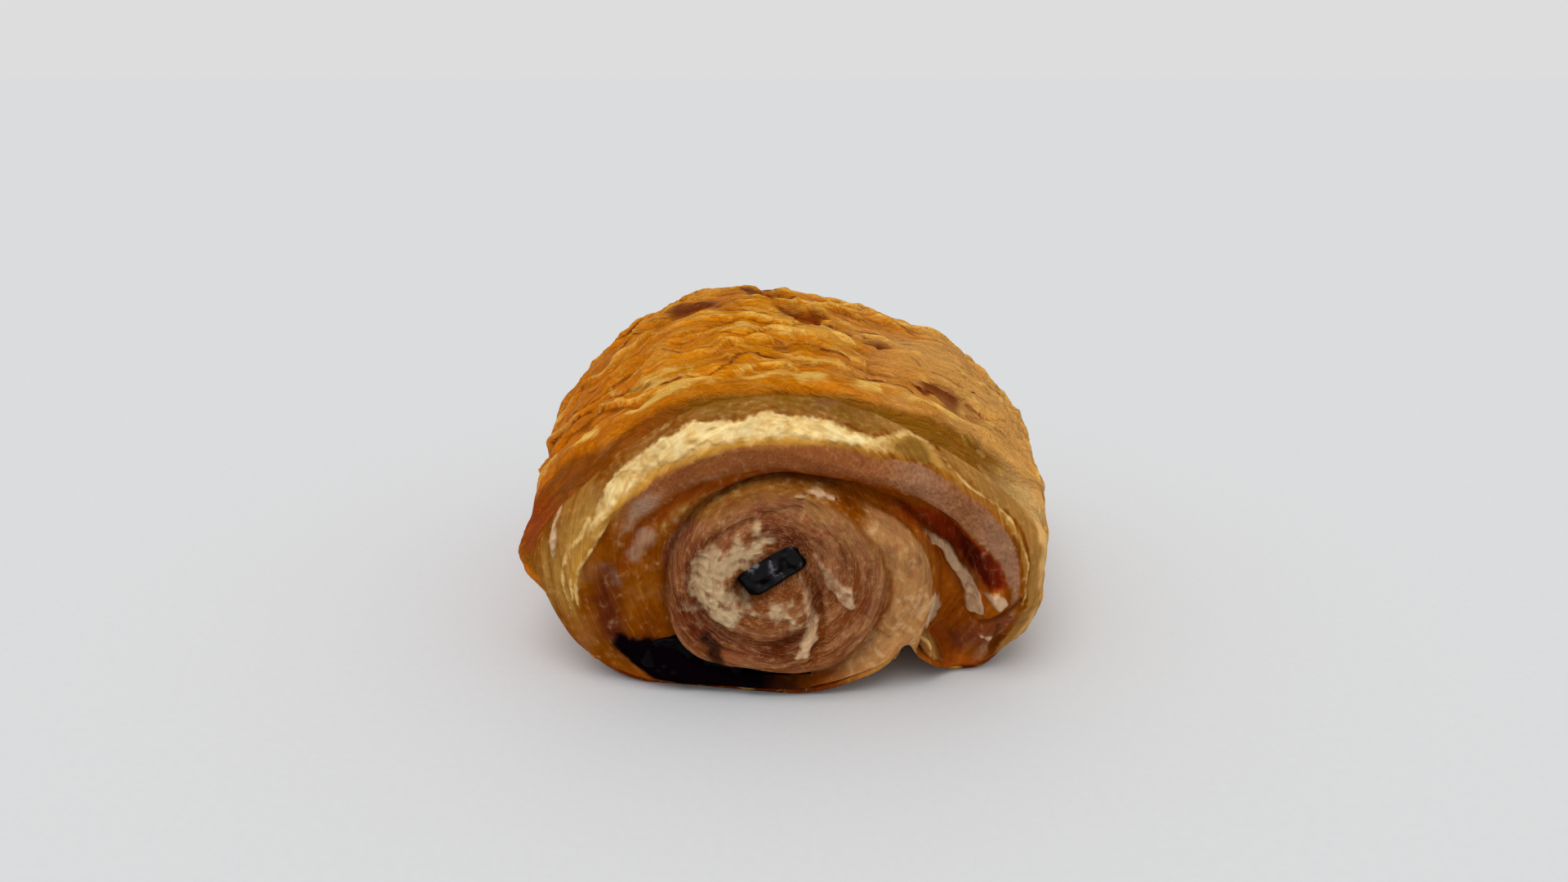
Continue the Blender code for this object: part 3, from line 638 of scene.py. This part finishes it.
def face_detail(at, inset, marks):
    """How far an end's fine relief stands out, in millimetres: lumps, layer lines, torn strips and creases.

    The melted bar's place is raised so that the bar lies flush, and the dough round the firm one is pitted.
    """
    angle, radius = at.angle, at.radius
    lines = 1 - 2 * np.abs(noise(wound(at, 2.2, 0.8) + 0.35 * at.wander[..., None], at.seed + 4))
    lumps = 0.25 * noise(at.flat / 4.5, at.seed + 5) + 0.12 * noise(at.flat / 1.6, at.seed + 6)
    flaky = 1 - 2 * np.abs(noise(at.flat / 1.2 + at.wander[..., None], at.seed + 8))
    detail = lumps + marks["cream"] * (0.5 + 1.2 * at.wander + 0.3 * flaky + 0.16 * lines)
    detail += 0.35 * marks["edge"] + 0.3 * marks["gold"] - 0.6 * marks["bubble"] - 0.5 * marks["groove"]
    detail += 0.9 * bump(radius - at.inner_seam, 1.0) * between(angle, -40, 40, 25)
    detail += 0.9 * bump(radius - at.seam, 1.0) * between(angle, 120, 240, 30)
    detail += 0.22 * lines * rise(at.seam + 0.5 - radius, 1.5)
    detail += 0.7 * marks["pale"] * (0.7 + 0.6 * flaky) + 0.5 * marks["patch"] * (0.5 + flaky)
    detail += 1.1 * rise(at.strip, 0.5, 0.7)
    detail -= 0.7 * marks["crease_and_painted_shade"] + 0.3 * marks["crimson"]
    detail += MELTED_LIFT * rise(within(SMEAR, at.x, at.z) + 1.0, 2.0)
    detail -= PIT_DEPTH * rise(1.05 - baton_shape(at.x, at.z), 0.09)
    return detail * rise(inset - 0.8, 1.2)


def end_face_piece(name, side, seed, material):
    """One end of the roll: a closed lens whose outer side fans out from the focus to below the crust's edge.

    Each ring is the rim drawn in towards the focus by its share. It stands out by the end face's height and
    the fine relief, and the rim is tucked in behind the crust. The inner side is nearly flat.
    """
    outline = closed_curve(BODY_OUTLINE, FACE_COLUMNS)
    lip = crust_edge(outline - FOCUS) - tail_setback(outline[:, 0], outline[:, 1])
    rim = section(outline, lip)
    share = FACE_RIM * (np.linspace(0, 1, FACE_ROWS + 1)[1:, None]) ** FACE_SPACING
    ring = FOCUS + share[..., None] * (rim - FOCUS)
    out, inset = end_face(ring, rim[None], share)
    outer = add_crust_relief(np.stack([ring[..., 0], -out, ring[..., 1]], axis=-1))
    at = face_view(outer[..., 0], outer[..., 2], seed)
    marks = {**sheet_marks(at), **roll_marks(at), **tear_marks(at)}
    outer[..., 1] += FACE_TUCK * rise(1.5 - inset, 1.1) - face_detail(at, inset, marks)
    inner = []
    for part in FACE_INNER_SHARES:
        narrow = FOCUS + part * (ring[-1] - FOCUS)
        inner.append(np.stack([narrow[:, 0], FACE_THICKNESS - lip, narrow[:, 1]], axis=-1))
    rows = np.concatenate([outer, np.array(inner)])
    marks["winding"] = wound(at, 1, 1)
    attributes = {}
    for key, value in marks.items():
        attributes[key] = np.concatenate([value, np.repeat(value[-1:], len(inner), axis=0)])
    if side > 0:
        rows = rows[::-1] * (1, -1, 1)
        attributes = {key: value[::-1] for key, value in attributes.items()}
    return place(name, ring_mesh(name, rows, attributes), material, "pastry")


def crust_outline():
    """The body's outline with its points set closer together above the floor than on the flat underside."""
    dense = closed_curve(BODY_OUTLINE, 10 * CRUST_COLUMNS)
    weight = UNDERSIDE_SHARE + (1 - UNDERSIDE_SHARE) * rise(dense[:, 1], 6)
    position = np.concatenate([[0], np.cumsum(weight)]) / weight.sum()
    at = np.interp(np.linspace(0, 1, CRUST_COLUMNS, endpoint=False), position, np.arange(len(dense) + 1))
    dense = np.vstack([dense, dense[:1]])
    return np.stack([np.interp(at, np.arange(len(dense)), dense[:, k]) for k in (0, 1)], axis=-1)


def crust_shell(outline, normal):
    """The crust's closed shell as rings of points, and the depth of each ring: 0 outside, 1 on the inside.

    The rings run along the outer side to the back edge, over it in a half turn, back along the inner side and
    over the front edge. Each is the section at its station, moved inwards by its depth and, near the edges,
    by most of a quarter circle.
    """
    lip = crust_edge(outline - FOCUS) - tail_setback(outline[:, 0], outline[:, 1])
    half_turn = np.linspace(0, np.pi, EDGE_RINGS + 2)[1:-1]
    over = np.ones(EDGE_RINGS)
    shares = np.concatenate([np.linspace(-1, 1, CRUST_ROWS), over, np.linspace(1, -1, INNER_ROWS), -over])
    going_in, coming_out = (1 - np.cos(half_turn)) / 2, (1 + np.cos(half_turn)) / 2
    depths = np.concatenate([np.zeros(CRUST_ROWS), going_in, np.ones(INNER_ROWS), coming_out])
    bulge = np.sin(half_turn)
    beyond = np.concatenate([np.zeros(CRUST_ROWS), bulge, np.zeros(INNER_ROWS), bulge])
    rim_point = np.stack([outline[:, 0], np.zeros(CRUST_COLUMNS), outline[:, 1]], axis=-1)
    fade = rise(outline[:, 1] - 3, 8)
    front, back = (lip + fade * LIP_RAGGED * noise(rim_point / LIP_TOOTH, seed) for seed in (21, 22))
    edge = np.where(shares[:, None] < 0, front, back)
    station = shares[:, None] * edge + np.sign(shares)[:, None] * beyond[:, None] * EDGE_BULGE * SHELL
    skin = section(np.broadcast_to(outline, (len(shares), CRUST_COLUMNS, 2)), station)
    rolled = np.clip(1 - (edge - np.abs(station)) / LIP_ROLL_WIDTH, 0, 1)
    rolled = (1 - np.sqrt(1 - LIP_ROLL_PART * rolled**2)) / (1 - np.sqrt(1 - LIP_ROLL_PART))
    rolled = LIP_ROLL * rolled * rise(outline[:, 1], 12)
    skin = skin - normal * (rolled + (depths * SHELL)[:, None])[..., None]
    return np.stack([skin[..., 0], station, skin[..., 1]], axis=-1), depths


def crust_view(points):
    """What the crust's relief and marks share: each point's angle, how far it lies beyond the lip line, and
    shares for the zone under the lip, calm and ruddy parts, scorched places and the flap on the left.
    """
    x, y, z = np.moveaxis(points, -1, 0)
    at = SimpleNamespace(x=x, z=z, angle=polar(x, z)[1])
    at.beyond_lip = np.abs(y) - through(LIP_LINE, at.angle)
    at.beyond_lip += 0.7 * noise(points / 5.0, 41) + 0.3 * noise(points / 1.6, 42)
    at.under = rise(at.beyond_lip, 1.4, 0.5)
    at.right_end = between(at.angle, -40, 24, 16)
    at.calm = 1 - (0.75 - 0.45 * at.right_end) * rise(at.beyond_lip + 5.0, 5.0)
    at.scorch = spots(points, SCORCHES)
    at.ruddy = rise(-x - 4, 26) * (0.8 + 0.3 * noise(points / 6.0, 48))
    at.flap = bump(at.angle - 176, 9.0) * rise(np.abs(y) - 24, 4) * (y < 0)
    at.plain = (1 - 0.8 * at.scorch) * (1 - 0.8 * at.flap)
    return at


def crust_relief(points):
    """The crust's fine relief in millimetres, and the shares of the painted highlights on its crests and of
    the painted shade in its troughs.

    It is the sum of wide flakes, fine flakes, lumps, and crinkles: the ridges of a bent noise whose cells are
    longer round the roll than along it.
    """
    wide, wide_crest_highlight, wide_foot_shade = flakes(points, WIDE_PITCH, 33)
    fine, fine_crest_highlight, fine_foot_shade = flakes(points, FINE_PITCH, 37)
    lumps = 0.6 * noise(points / 6.5, 43) + 0.5 * noise(points / 3.0, 44)
    bent = points / CRINKLE_CELL + 0.6 * noise(points / 3.1, 51)[..., None]
    crinkle = 1 - 2.2 * np.abs(noise(bent, 52))
    relief = WIDE_HEIGHT * wide + FINE_HEIGHT * fine + lumps + CRINKLE_HEIGHT * crinkle
    # The crests get a painted highlight, where flake edges and crinkle ridges would catch the light.
    crest_highlight = np.maximum(0.85 * wide_crest_highlight, 0.6 * fine_crest_highlight) * smoothstep(0.7 + crinkle)
    crest_highlight = np.maximum(crest_highlight, 0.7 * rise(crinkle - 0.55, 0.4) * smoothstep(0.5 + noise(points / 5.0, 53)))
    return relief, crest_highlight, np.maximum(wide_foot_shade, 0.6 * fine_foot_shade)


def crust_piece(material):
    """The crust: its shell with crags, flakes and crinkles, swollen before the lip line, lower beyond it."""
    outline = crust_outline()
    normal = normals(outline)
    points, depths = crust_shell(outline, normal)
    points = add_crust_relief(points)
    at = crust_view(points)
    relief, crest_highlight, foot = crust_relief(points)
    # A painted highlight along the rounded crust just beyond the lip line.
    lip_highlight = 0.8 * bump(at.beyond_lip + 2.3, 1.4) * between(at.angle, 40, 160, 30)
    lip_highlight *= smoothstep(0.6 + 0.5 * at.ruddy + noise(points / 4.0, 46))
    push = (relief - 0.7) * at.calm - 0.8 * at.scorch - LIP_STEP * at.under
    push += LIP_SWELL * bump(at.beyond_lip + 1.8, 1.6)
    push *= (1 - depths)[:, None] * rise(at.z - 0.6, 5)
    direction = np.stack([normal[:, 0], np.zeros(CRUST_COLUMNS), normal[:, 1]], axis=-1)
    points = points + direction * push[..., None]
    points[..., 2] = np.maximum(points[..., 2], 0)
    low_down = smoothstep(1.55 - at.z / 46 + 0.3 * noise(points / 7.0, 47))
    # Pale lines on the ridged texture, in patches: partly paler drying flake edges and partly a painted
    # highlight.
    dry_and_highlight = smoothstep(0.55 + 0.9 * noise(points / 8.0, 49))
    marks = {
        # The relief's share also sets the crust's tone: painted shade in the troughs and painted light on the
        # ridges.
        "relief": np.clip(0.3 + 0.5 * relief * at.calm, 0, 1),
        "crest_highlight": np.maximum(0.85 * at.calm * (1 - 0.3 * at.ruddy) * crest_highlight, lip_highlight) * at.plain,
        # Painted shade in the troughs at the flakes' feet.
        "foot": at.calm * foot,
        "golden": rise(at.x + 4, 30) * low_down,
        "ruddy": at.ruddy,
        "browning": np.maximum(1 - rise(at.z, 6), 1.1 * at.scorch),
        # Painted shade on the crust where it rolls under beyond the lip line.
        "shade_under_lip": at.under,
        "flap": at.flap,
        "olive": at.under * np.maximum(between(at.angle, 24, 112, 20), between(at.angle, 172, 188, 8)),
        "tan": at.under * at.right_end,
        "dry_and_highlight": at.calm * dry_and_highlight * (1 - 0.6 * at.ruddy) * at.plain,
    }
    return place("crust", ring_mesh("crust", points, marks, joined=True), material, "pastry")


def bar_piece(name, node, outline, reach, material, bloom_and_glints, seed):
    """A chocolate bar along the roll with the given section, its ends rounded over and uneven from breaking.

    The rings of an end grow from its middle to the edge, go round the edge in a quarter circle, and the last
    ring of one end joins that of the other.
    """
    centre = outline.mean(axis=0)
    bevel = BATON_END_RADIUS / np.abs(outline - centre).max()
    share = np.linspace(0, 1, BATON_RINGS)[1:]
    turn = np.clip((share - BATON_FLAT) / (1 - BATON_FLAT), 0, 1) * np.pi / 2
    size = np.where(share < BATON_FLAT, share / BATON_FLAT * (1 - bevel), 1 - bevel * (1 - np.sin(turn)))
    drop = np.where(share < BATON_FLAT, 0, BATON_END_RADIUS * (1 - np.cos(turn)))
    rings = []
    for side, keep in ((-1, 1), (1, -1)):
        ring = centre + size[:, None, None] * (outline - centre)
        end = np.stack([ring[..., 0], np.full(ring.shape[:2], float(side)), ring[..., 1]], axis=-1)
        lumps = 0.7 * noise(end / 2.4, seed) + 0.4 * noise(end / 1.1, seed + 1) - 0.5
        end[..., 1] = side * (reach - drop[:, None] + lumps * (1 - share[:, None] ** 4))
        rings.append(end[::keep])
    rows = np.concatenate(rings)
    mesh = ring_mesh(name, rows, {"bloom_and_glints": np.full(rows.shape[:2], bloom_and_glints)})
    return place(name, mesh, material, node)


def linear(colour):
    """A "#rrggbb" colour in sRGB, as the linear red, green, blue and alpha that the shaders take."""
    levels = [int(colour[i : i + 2], 16) / 255 for i in (1, 3, 5)]
    return [v / 12.92 if v <= 0.04045 else ((v + 0.055) / 1.055) ** 2.4 for v in levels] + [1.0]


def per_metre(size):
    """The scale of a pattern whose features have a size in millimetres: how many of them fill a metre."""
    return 1 / (size * MM)


def add(tree, kind, inputs=None, ramp=None, output=0, **settings):
    """Adds a shader node and returns one of its outputs.

    inputs maps a socket's name or number to its value, or to the output that feeds it. ramp is a list of
    positions and colours.
    """
    made = tree.nodes.new("ShaderNode" + kind)
    for key, value in settings.items():
        setattr(made, key, value)
    for key, value in (inputs or {}).items():
        if isinstance(value, bpy.types.NodeSocket):
            tree.links.new(value, made.inputs[key])
        else:
            made.inputs[key].default_value = value
    for position, colour in ramp or []:
        stop = made.color_ramp.elements.new(position)
        stop.color = linear(colour)
    if ramp:
        made.color_ramp.elements.remove(made.color_ramp.elements[0])
        made.color_ramp.elements.remove(made.color_ramp.elements[-1])
    return made.outputs[output]


def start_material(name):
    """A material with only its Principled shader: returns the material, its node tree and the shader."""
    material = bpy.data.materials.new(name)
    material.use_nodes = True
    return material, material.node_tree, material.node_tree.nodes["Principled BSDF"]


def lay_stains(tree, colour, rows):
    """Lays one colour after another over the first where the mesh's marks say so.

    A row is a mark, its colour, the grain texture that breaks up its edge, and how soft that edge is.
    """
    for mark, stain, grain, softness in rows:
        share = add(tree, "Attribute", attribute_name=mark, output="Fac")
        broken = add(tree, "Math", {0: grain, 1: 0.5}, operation="SUBTRACT")
        moved = add(tree, "Math", {0: broken, 1: STAIN_RAGGED, 2: share}, operation="MULTIPLY_ADD")
        edge = {"Value": moved, "From Min": 0.5 - softness / 2, "From Max": 0.5 + softness / 2}
        factor = add(tree, "MapRange", edge, interpolation_type="SMOOTHSTEP")
        above = linear(stain) if isinstance(stain, str) else stain
        colour = add(tree, "Mix", {0: factor, 6: colour, 7: above}, data_type="RGBA", output=2)
    return colour


def lay_blotches(tree, colour, rows):
    """Lays blotches of one colour after another over the first, inside the mesh's marks.

    A row is a mark, its colour, a texture, the texture's value where there is none of the colour, its value
    where there is most, and how much that is.
    """
    for mark, stain, texture, none_at, most_at, most in rows:
        share = add(tree, "Attribute", attribute_name=mark, output="Fac")
        blotch = {"Value": texture, "From Min": none_at, "From Max": most_at, "To Max": most}
        blotch = add(tree, "MapRange", blotch, interpolation_type="SMOOTHSTEP")
        factor = add(tree, "Math", {0: blotch, 1: share}, operation="MULTIPLY")
        colour = add(tree, "Mix", {0: factor, 6: colour, 7: linear(stain)}, data_type="RGBA", output=2)
    return colour


def finish_material(tree, shader, colour, height, depth, strength, roughness, gloss):
    """Gives the shader its colour, a bump of a depth in millimetres, its roughness and its specular level."""
    bumpy = add(tree, "Bump", {"Height": height, "Distance": depth * MM, "Strength": strength})
    tree.links.new(colour, shader.inputs["Base Color"])
    tree.links.new(bumpy, shader.inputs["Normal"])
    shader.inputs["Roughness"].default_value = roughness
    shader.inputs["Specular IOR Level"].default_value = gloss


def egg_washed_crust():
    """Flaky crust under a thin baked egg wash: painted shade in the troughs, painted highlights on the
    flakes, which are partly paler from drying, hardly glossy.
    """
    material, tree, shader = start_material("egg_washed_crust")
    spot = add(tree, "TexCoord", output="Object")
    along, across = per_metre(CRUST_STREAK_LENGTH), per_metre(CRUST_STREAK_WIDTH)
    drawn = add(tree, "VectorMath", {0: spot, 1: (along, across, along)}, operation="MULTIPLY")
    ridges = {"Vector": drawn, "Scale": 1.0, "Detail": 6.0, "Roughness": 0.7, "Distortion": 0.5}
    ridges.update({"Offset": 1.0, "Gain": 1.6})
    ridge = add(tree, "TexNoise", ridges, noise_type="RIDGED_MULTIFRACTAL")
    streaks = {"Vector": drawn, "Scale": 1.7, "Detail": 5.0, "Roughness": 0.6, "Distortion": 0.4}
    streak = add(tree, "TexNoise", streaks)
    grain = add(tree, "TexNoise", {"Vector": spot, "Scale": per_metre(CRUST_GRAIN), "Detail": 3.0})
    cloud = add(tree, "TexNoise", {"Vector": spot, "Scale": per_metre(CRUST_CLOUD), "Detail": 2.0})
    # The tone follows the relief: painted shade in the troughs, painted light on the ridges, broken up by the
    # textures.
    tone = add(tree, "Attribute", attribute_name="relief", output="Fac")
    for texture, share in ((streak, 1.2), (cloud, 0.4), (grain, 0.5)):
        tone = add(tree, "Math", {0: texture, 1: share, 2: tone}, operation="MULTIPLY_ADD")
    tone = add(tree, "MapRange", {"Value": tone, "From Min": 0.95, "From Max": 1.8})
    stops = [(0.02, "#8a3e00"), (0.22, "#bc6600"), (0.5, "#cf7600"), (0.75, "#de8802"), (0.98, "#eca63a")]
    colour = add(tree, "ValToRGB", {0: tone}, ramp=stops)
    colour = lay_stains(tree, colour, [
        ("golden", "#dda052", streak, 0.9),
        ("ruddy", "#cf7000", streak, 1.3),
        ("browning", "#722600", streak, 0.9),
        # Painted shade under the crust's lip.
        ("shade_under_lip", "#8c4400", cloud, 0.9),
        ("tan", "#e2b26c", streak, 1.2),
        ("olive", "#8f5a0e", cloud, 1.2),
        ("flap", "#9a4206", streak, 0.8),
        # Painted shade in the troughs at the flakes' feet.
        ("foot", "#7c3400", streak, 1.1),
        # Painted highlights on the crests and along the lip.
        ("crest_highlight", "#f5be5a", streak, 0.5),
    ])
    # Pale lines on the ridges of the bump texture: partly paler drying flakes and partly a painted highlight.
    colour = lay_blotches(tree, colour, [("dry_and_highlight", "#f2b650", ridge, 2.0, 2.6, 0.65)])
    height = add(tree, "Math", {0: ridge, 1: 0.5, 2: streak}, operation="MULTIPLY_ADD")
    height = add(tree, "Math", {0: grain, 1: 0.5, 2: height}, operation="MULTIPLY_ADD")
    finish_material(tree, shader, colour, height, depth=0.8, strength=0.8, roughness=0.42, gloss=0.03)
    return material


def torn_dough_layers():
    """Baked dough torn across its layers: buttery cream where it is fluffy, mauve-brown by the filling."""
    material, tree, shader = start_material("torn_dough_layers")
    spot = add(tree, "TexCoord", output="Object")
    winding = add(tree, "Attribute", attribute_name="winding", output="Vector")
    thin = (HAIRS_ROUND, HAIRS_ROUND, 1 / HAIR_THICKNESS)
    hairs = add(tree, "VectorMath", {0: winding, 1: thin}, operation="MULTIPLY")
    thick = (ARCS_ROUND, ARCS_ROUND, 1 / ARC_THICKNESS)
    arcs = add(tree, "VectorMath", {0: winding, 1: thick}, operation="MULTIPLY")
    hair = add(tree, "TexNoise", {"Vector": hairs, "Scale": 1.0, "Detail": 4.0})
    bent = {"Vector": arcs, "Scale": 1.0, "Detail": 5.0, "Roughness": 0.65, "Distortion": 0.6}
    arc = add(tree, "TexNoise", bent)
    patchy = {"Vector": spot, "Scale": per_metre(DOUGH_BLOTCH), "Detail": 3.0, "Distortion": 1.2}
    blotch = add(tree, "TexNoise", patchy)
    ridges = {"Vector": arcs, "Scale": 1.6, "Detail": 5.0, "Roughness": 0.7, "Offset": 1.0, "Gain": 1.6}
    thread = add(tree, "TexNoise", ridges, noise_type="RIDGED_MULTIFRACTAL")
    cloud = add(tree, "TexNoise", {"Vector": spot, "Scale": per_metre(DOUGH_CLOUD), "Detail": 4.0})
    grain = add(tree, "TexNoise", {"Vector": spot, "Scale": per_metre(DOUGH_GRAIN), "Detail": 5.0})
    base = [(0.3, "#6a2c00"), (0.5, "#854300"), (0.7, "#9c5808")]
    colour = add(tree, "ValToRGB", {0: cloud}, ramp=base)
    colour = lay_stains(tree, colour, [
        # The terrace: the dough's own brown, darkened by painted shade under the crust's lip.
        ("terrace", "#825415", cloud, 0.9),
        ("buttery", "#9f7034", cloud, 0.9),
        ("tan", "#e2b26c", cloud, 1.0),
        ("valley", "#a85608", cloud, 1.0),
        ("veil", "#a98446", grain, 1.0),
        ("roll", "#7c421c", cloud, 1.0),
        ("shoulder", "#b9844e", cloud, 1.0),
        # Painted light on the upward-facing rim of the roll.
        ("rim", "#97683a", arc, 1.0),
        ("layers", "#945e3a", arc, 0.5),
        ("band", "#8a4f2a", hair, 0.9),
        ("blush", "#966a4e", hair, 0.9),
        ("groove", "#7c3606", cloud, 0.9),
        ("rosy", "#7c3e24", blotch, 1.0),
        # Painted whitish sheen.
        ("painted_sheen", "#b49a80", cloud, 1.0),
        # Painted shade in the hollows.
        ("shade", "#56200f", cloud, 1.0),
        # Painted shade in the creases.
        ("crease_and_painted_shade", "#6e340c", cloud, 0.9),
        # The crevice's red, partly painted shade; darker painted shade follows towards its right end.
        ("crimson", "#a4340f", hair, 0.8),
        ("painted_crevice_shade", "#581408", cloud, 1.2),
        ("sheer", "#b4863e", arc, 1.1),
        ("gold", "#c08a36", arc, 0.9),
        ("patch", "#c2a67e", grain, 1.0),
    ])
    colour = lay_blotches(tree, colour, [("patch", "#8c5a38", blotch, 0.52, 0.66, 0.6)])
    colour = lay_stains(tree, colour, [("pale", "#c8a47e", grain, 0.8)])
    colour = lay_blotches(tree, colour, [
        ("roll", "#c4966c", thread, 1.7, 2.6, 0.4),
        ("roll", "#743020", blotch, 0.5, 0.68, 0.5),
        ("shoulder", "#a05c3c", blotch, 0.52, 0.66, 0.45),
        ("shoulder", "#d8ac7c", blotch, 0.48, 0.34, 0.6),
    ])
    fluff = [(0.36, "#d8ae68"), (0.5, "#e9c784"), (0.66, "#f4dca0")]
    fluff = add(tree, "ValToRGB", {0: blotch}, ramp=fluff)
    colour = lay_stains(tree, colour, [
        ("cream", fluff, grain, 0.9),
        ("bubble", "#805820", grain, 0.7),
        ("edge", "#d8b06c", grain, 0.7),
        ("bottom", "#94460e", cloud, 1.2),
        ("stain", "#090307", cloud, 1.2),
    ])
    in_band = add(tree, "Attribute", attribute_name="band", output="Fac")
    lines = add(tree, "Mix", {0: in_band, 2: arc, 3: hair})
    lines = add(tree, "Math", {0: grain, 1: 0.6, 2: lines}, operation="MULTIPLY_ADD")
    light = {"Value": lines, "From Min": 0.5, "From Max": 1.1, "To Min": 0.75, "To Max": 1.25}
    light = add(tree, "MapRange", light)
    colour = add(tree, "VectorMath", {0: colour, "Scale": light}, operation="SCALE")
    finish_material(tree, shader, colour, lines, depth=0.5, strength=0.6, roughness=0.5, gloss=0.0)
    return material


def melted_dark_chocolate():
    """Dark chocolate that has melted and set again: near-black, satin, with grey specks, partly fat come to
    the surface and partly painted glints.
    """
    material, tree, shader = start_material("melted_dark_chocolate")
    spot = add(tree, "TexCoord", output="Object")
    bloom_and_glints = add(tree, "TexNoise", {"Vector": spot, "Scale": per_metre(CHOCOLATE_SPECK), "Detail": 4.0})
    bloom_and_glint_share = add(tree, "Attribute", attribute_name="bloom_and_glints", output="Fac")
    bloom_and_glint_specks = add(tree, "Math", {0: bloom_and_glints, 1: bloom_and_glint_share}, operation="MULTIPLY")
    # The grey stops paint glints on the chocolate as well as its fat specks.
    stops = [(0.4, "#040204"), (0.53, "#0c090c"), (0.6, "#2a2930"), (0.7, "#84848e")]
    colour = add(tree, "ValToRGB", {0: bloom_and_glint_specks}, ramp=stops)
    finish_material(tree, shader, colour, bloom_and_glints, depth=0.5, strength=0.4, roughness=0.4, gloss=0.0)
    gloss = add(tree, "Math", {0: bloom_and_glint_share, 1: 0.16}, operation="MULTIPLY")
    tree.links.new(gloss, shader.inputs["Specular IOR Level"])
    return material


def studio_floor():
    """A matt, pale grey studio floor with a barely visible unevenness."""
    material, tree, shader = start_material("pale_studio_floor")
    spot = add(tree, "TexCoord", output="Object")
    cloud = add(tree, "TexNoise", {"Vector": spot, "Scale": per_metre(FLOOR_GRAIN), "Detail": 2.0})
    stops = [(0.3, "#d2d3d4"), (0.7, "#d4d5d6")]
    colour = add(tree, "ValToRGB", {0: cloud}, ramp=stops)
    tree.links.new(colour, shader.inputs["Base Color"])
    shader.inputs["Roughness"].default_value = 1.0
    shader.inputs["Specular IOR Level"].default_value = 0.0
    return material


def make_pastry():
    """The crust, and the roll's two ends."""
    crust = egg_washed_crust()
    dough = torn_dough_layers()
    crust_piece(crust)
    end_face_piece("front_end", side=-1, seed=51, material=dough)
    end_face_piece("back_end", side=1, seed=71, material=dough)


def firm_outline():
    """The upper baton's section: a superellipse, turned by its tilt and made uneven by noise."""
    turn = np.linspace(0, 2 * np.pi, BATON_COLUMNS, endpoint=False)
    cosine, sine = np.cos(turn), np.sin(turn)
    wide = BATON_WIDTH / 2 * np.sign(cosine) * np.abs(cosine) ** (2 / BATON_SQUARENESS)
    thick = BATON_THICKNESS / 2 * np.sign(sine) * np.abs(sine) ** (2 / BATON_SQUARENESS)
    tilt = np.radians(BATON_TILT)
    x = wide * np.cos(tilt) - thick * np.sin(tilt)
    z = wide * np.sin(tilt) + thick * np.cos(tilt)
    uneven = 1 + BATON_UNEVEN * noise(np.stack([2.2 * cosine, 2.2 * sine, 0 * turn], axis=-1), 85)[:, None]
    return np.array(BATON_CENTRE) + uneven * np.stack([x, z], axis=-1)


def make_batons():
    """The firm baton with its grey specks of fat and painted glints, and the melted one, which has few of
    them.
    """
    chocolate = melted_dark_chocolate()
    melted = closed_curve(MELTED_OUTLINE, BATON_COLUMNS)
    bar_piece("firm_baton", "chocolate_upper", firm_outline(), BATON_REACH, chocolate, bloom_and_glints=1.0, seed=81)
    bar_piece("melted_baton", "chocolate_lower", melted, MELTED_REACH, chocolate, bloom_and_glints=0.3, seed=91)


def make_floor():
    """A pale seamless floor, so wide that its edge is out of sight."""
    mesh = bpy.data.meshes.new("floor")
    far = FLOOR_REACH
    mesh.from_pydata([(-far, -far, 0), (far, -far, 0), (far, far, 0), (-far, far, 0)], [], [(0, 1, 2, 3)])
    mesh.materials.append(studio_floor())
    floor = bpy.data.objects.new("floor", mesh)
    bpy.context.scene.collection.objects.link(floor)


def make_light():
    """An even grey sky, and a broad soft sun high above that leans to the camera's side and to the left."""
    world = bpy.data.worlds.new("even_grey_sky")
    world.use_nodes = True
    world.node_tree.nodes["Background"].inputs["Color"].default_value = linear(SKY_COLOUR)
    bpy.context.scene.world = world
    lamp = bpy.data.lights.new("soft_sun", "SUN")
    lamp.energy = SUN_STRENGTH
    lamp.angle = np.radians(SUN_SPREAD)
    sun = bpy.data.objects.new("soft_sun", lamp)
    sun.rotation_euler = np.radians(SUN_TURN)
    bpy.context.scene.collection.objects.link(sun)


def make_camera():
    """A camera in front of the roll and a little above it, looking down on the end face."""
    lens = bpy.data.cameras.new("camera")
    lens.lens = CAMERA_LENS
    camera = bpy.data.objects.new("camera", lens)
    camera.location = np.array(CAMERA_PLACE) * MM
    camera.rotation_euler = np.radians(CAMERA_TURN)
    bpy.context.scene.collection.objects.link(camera)
    bpy.context.scene.camera = camera
    bpy.context.scene.view_settings.view_transform = "Standard"


make_pastry()
make_batons()
make_floor()
make_light()
make_camera()
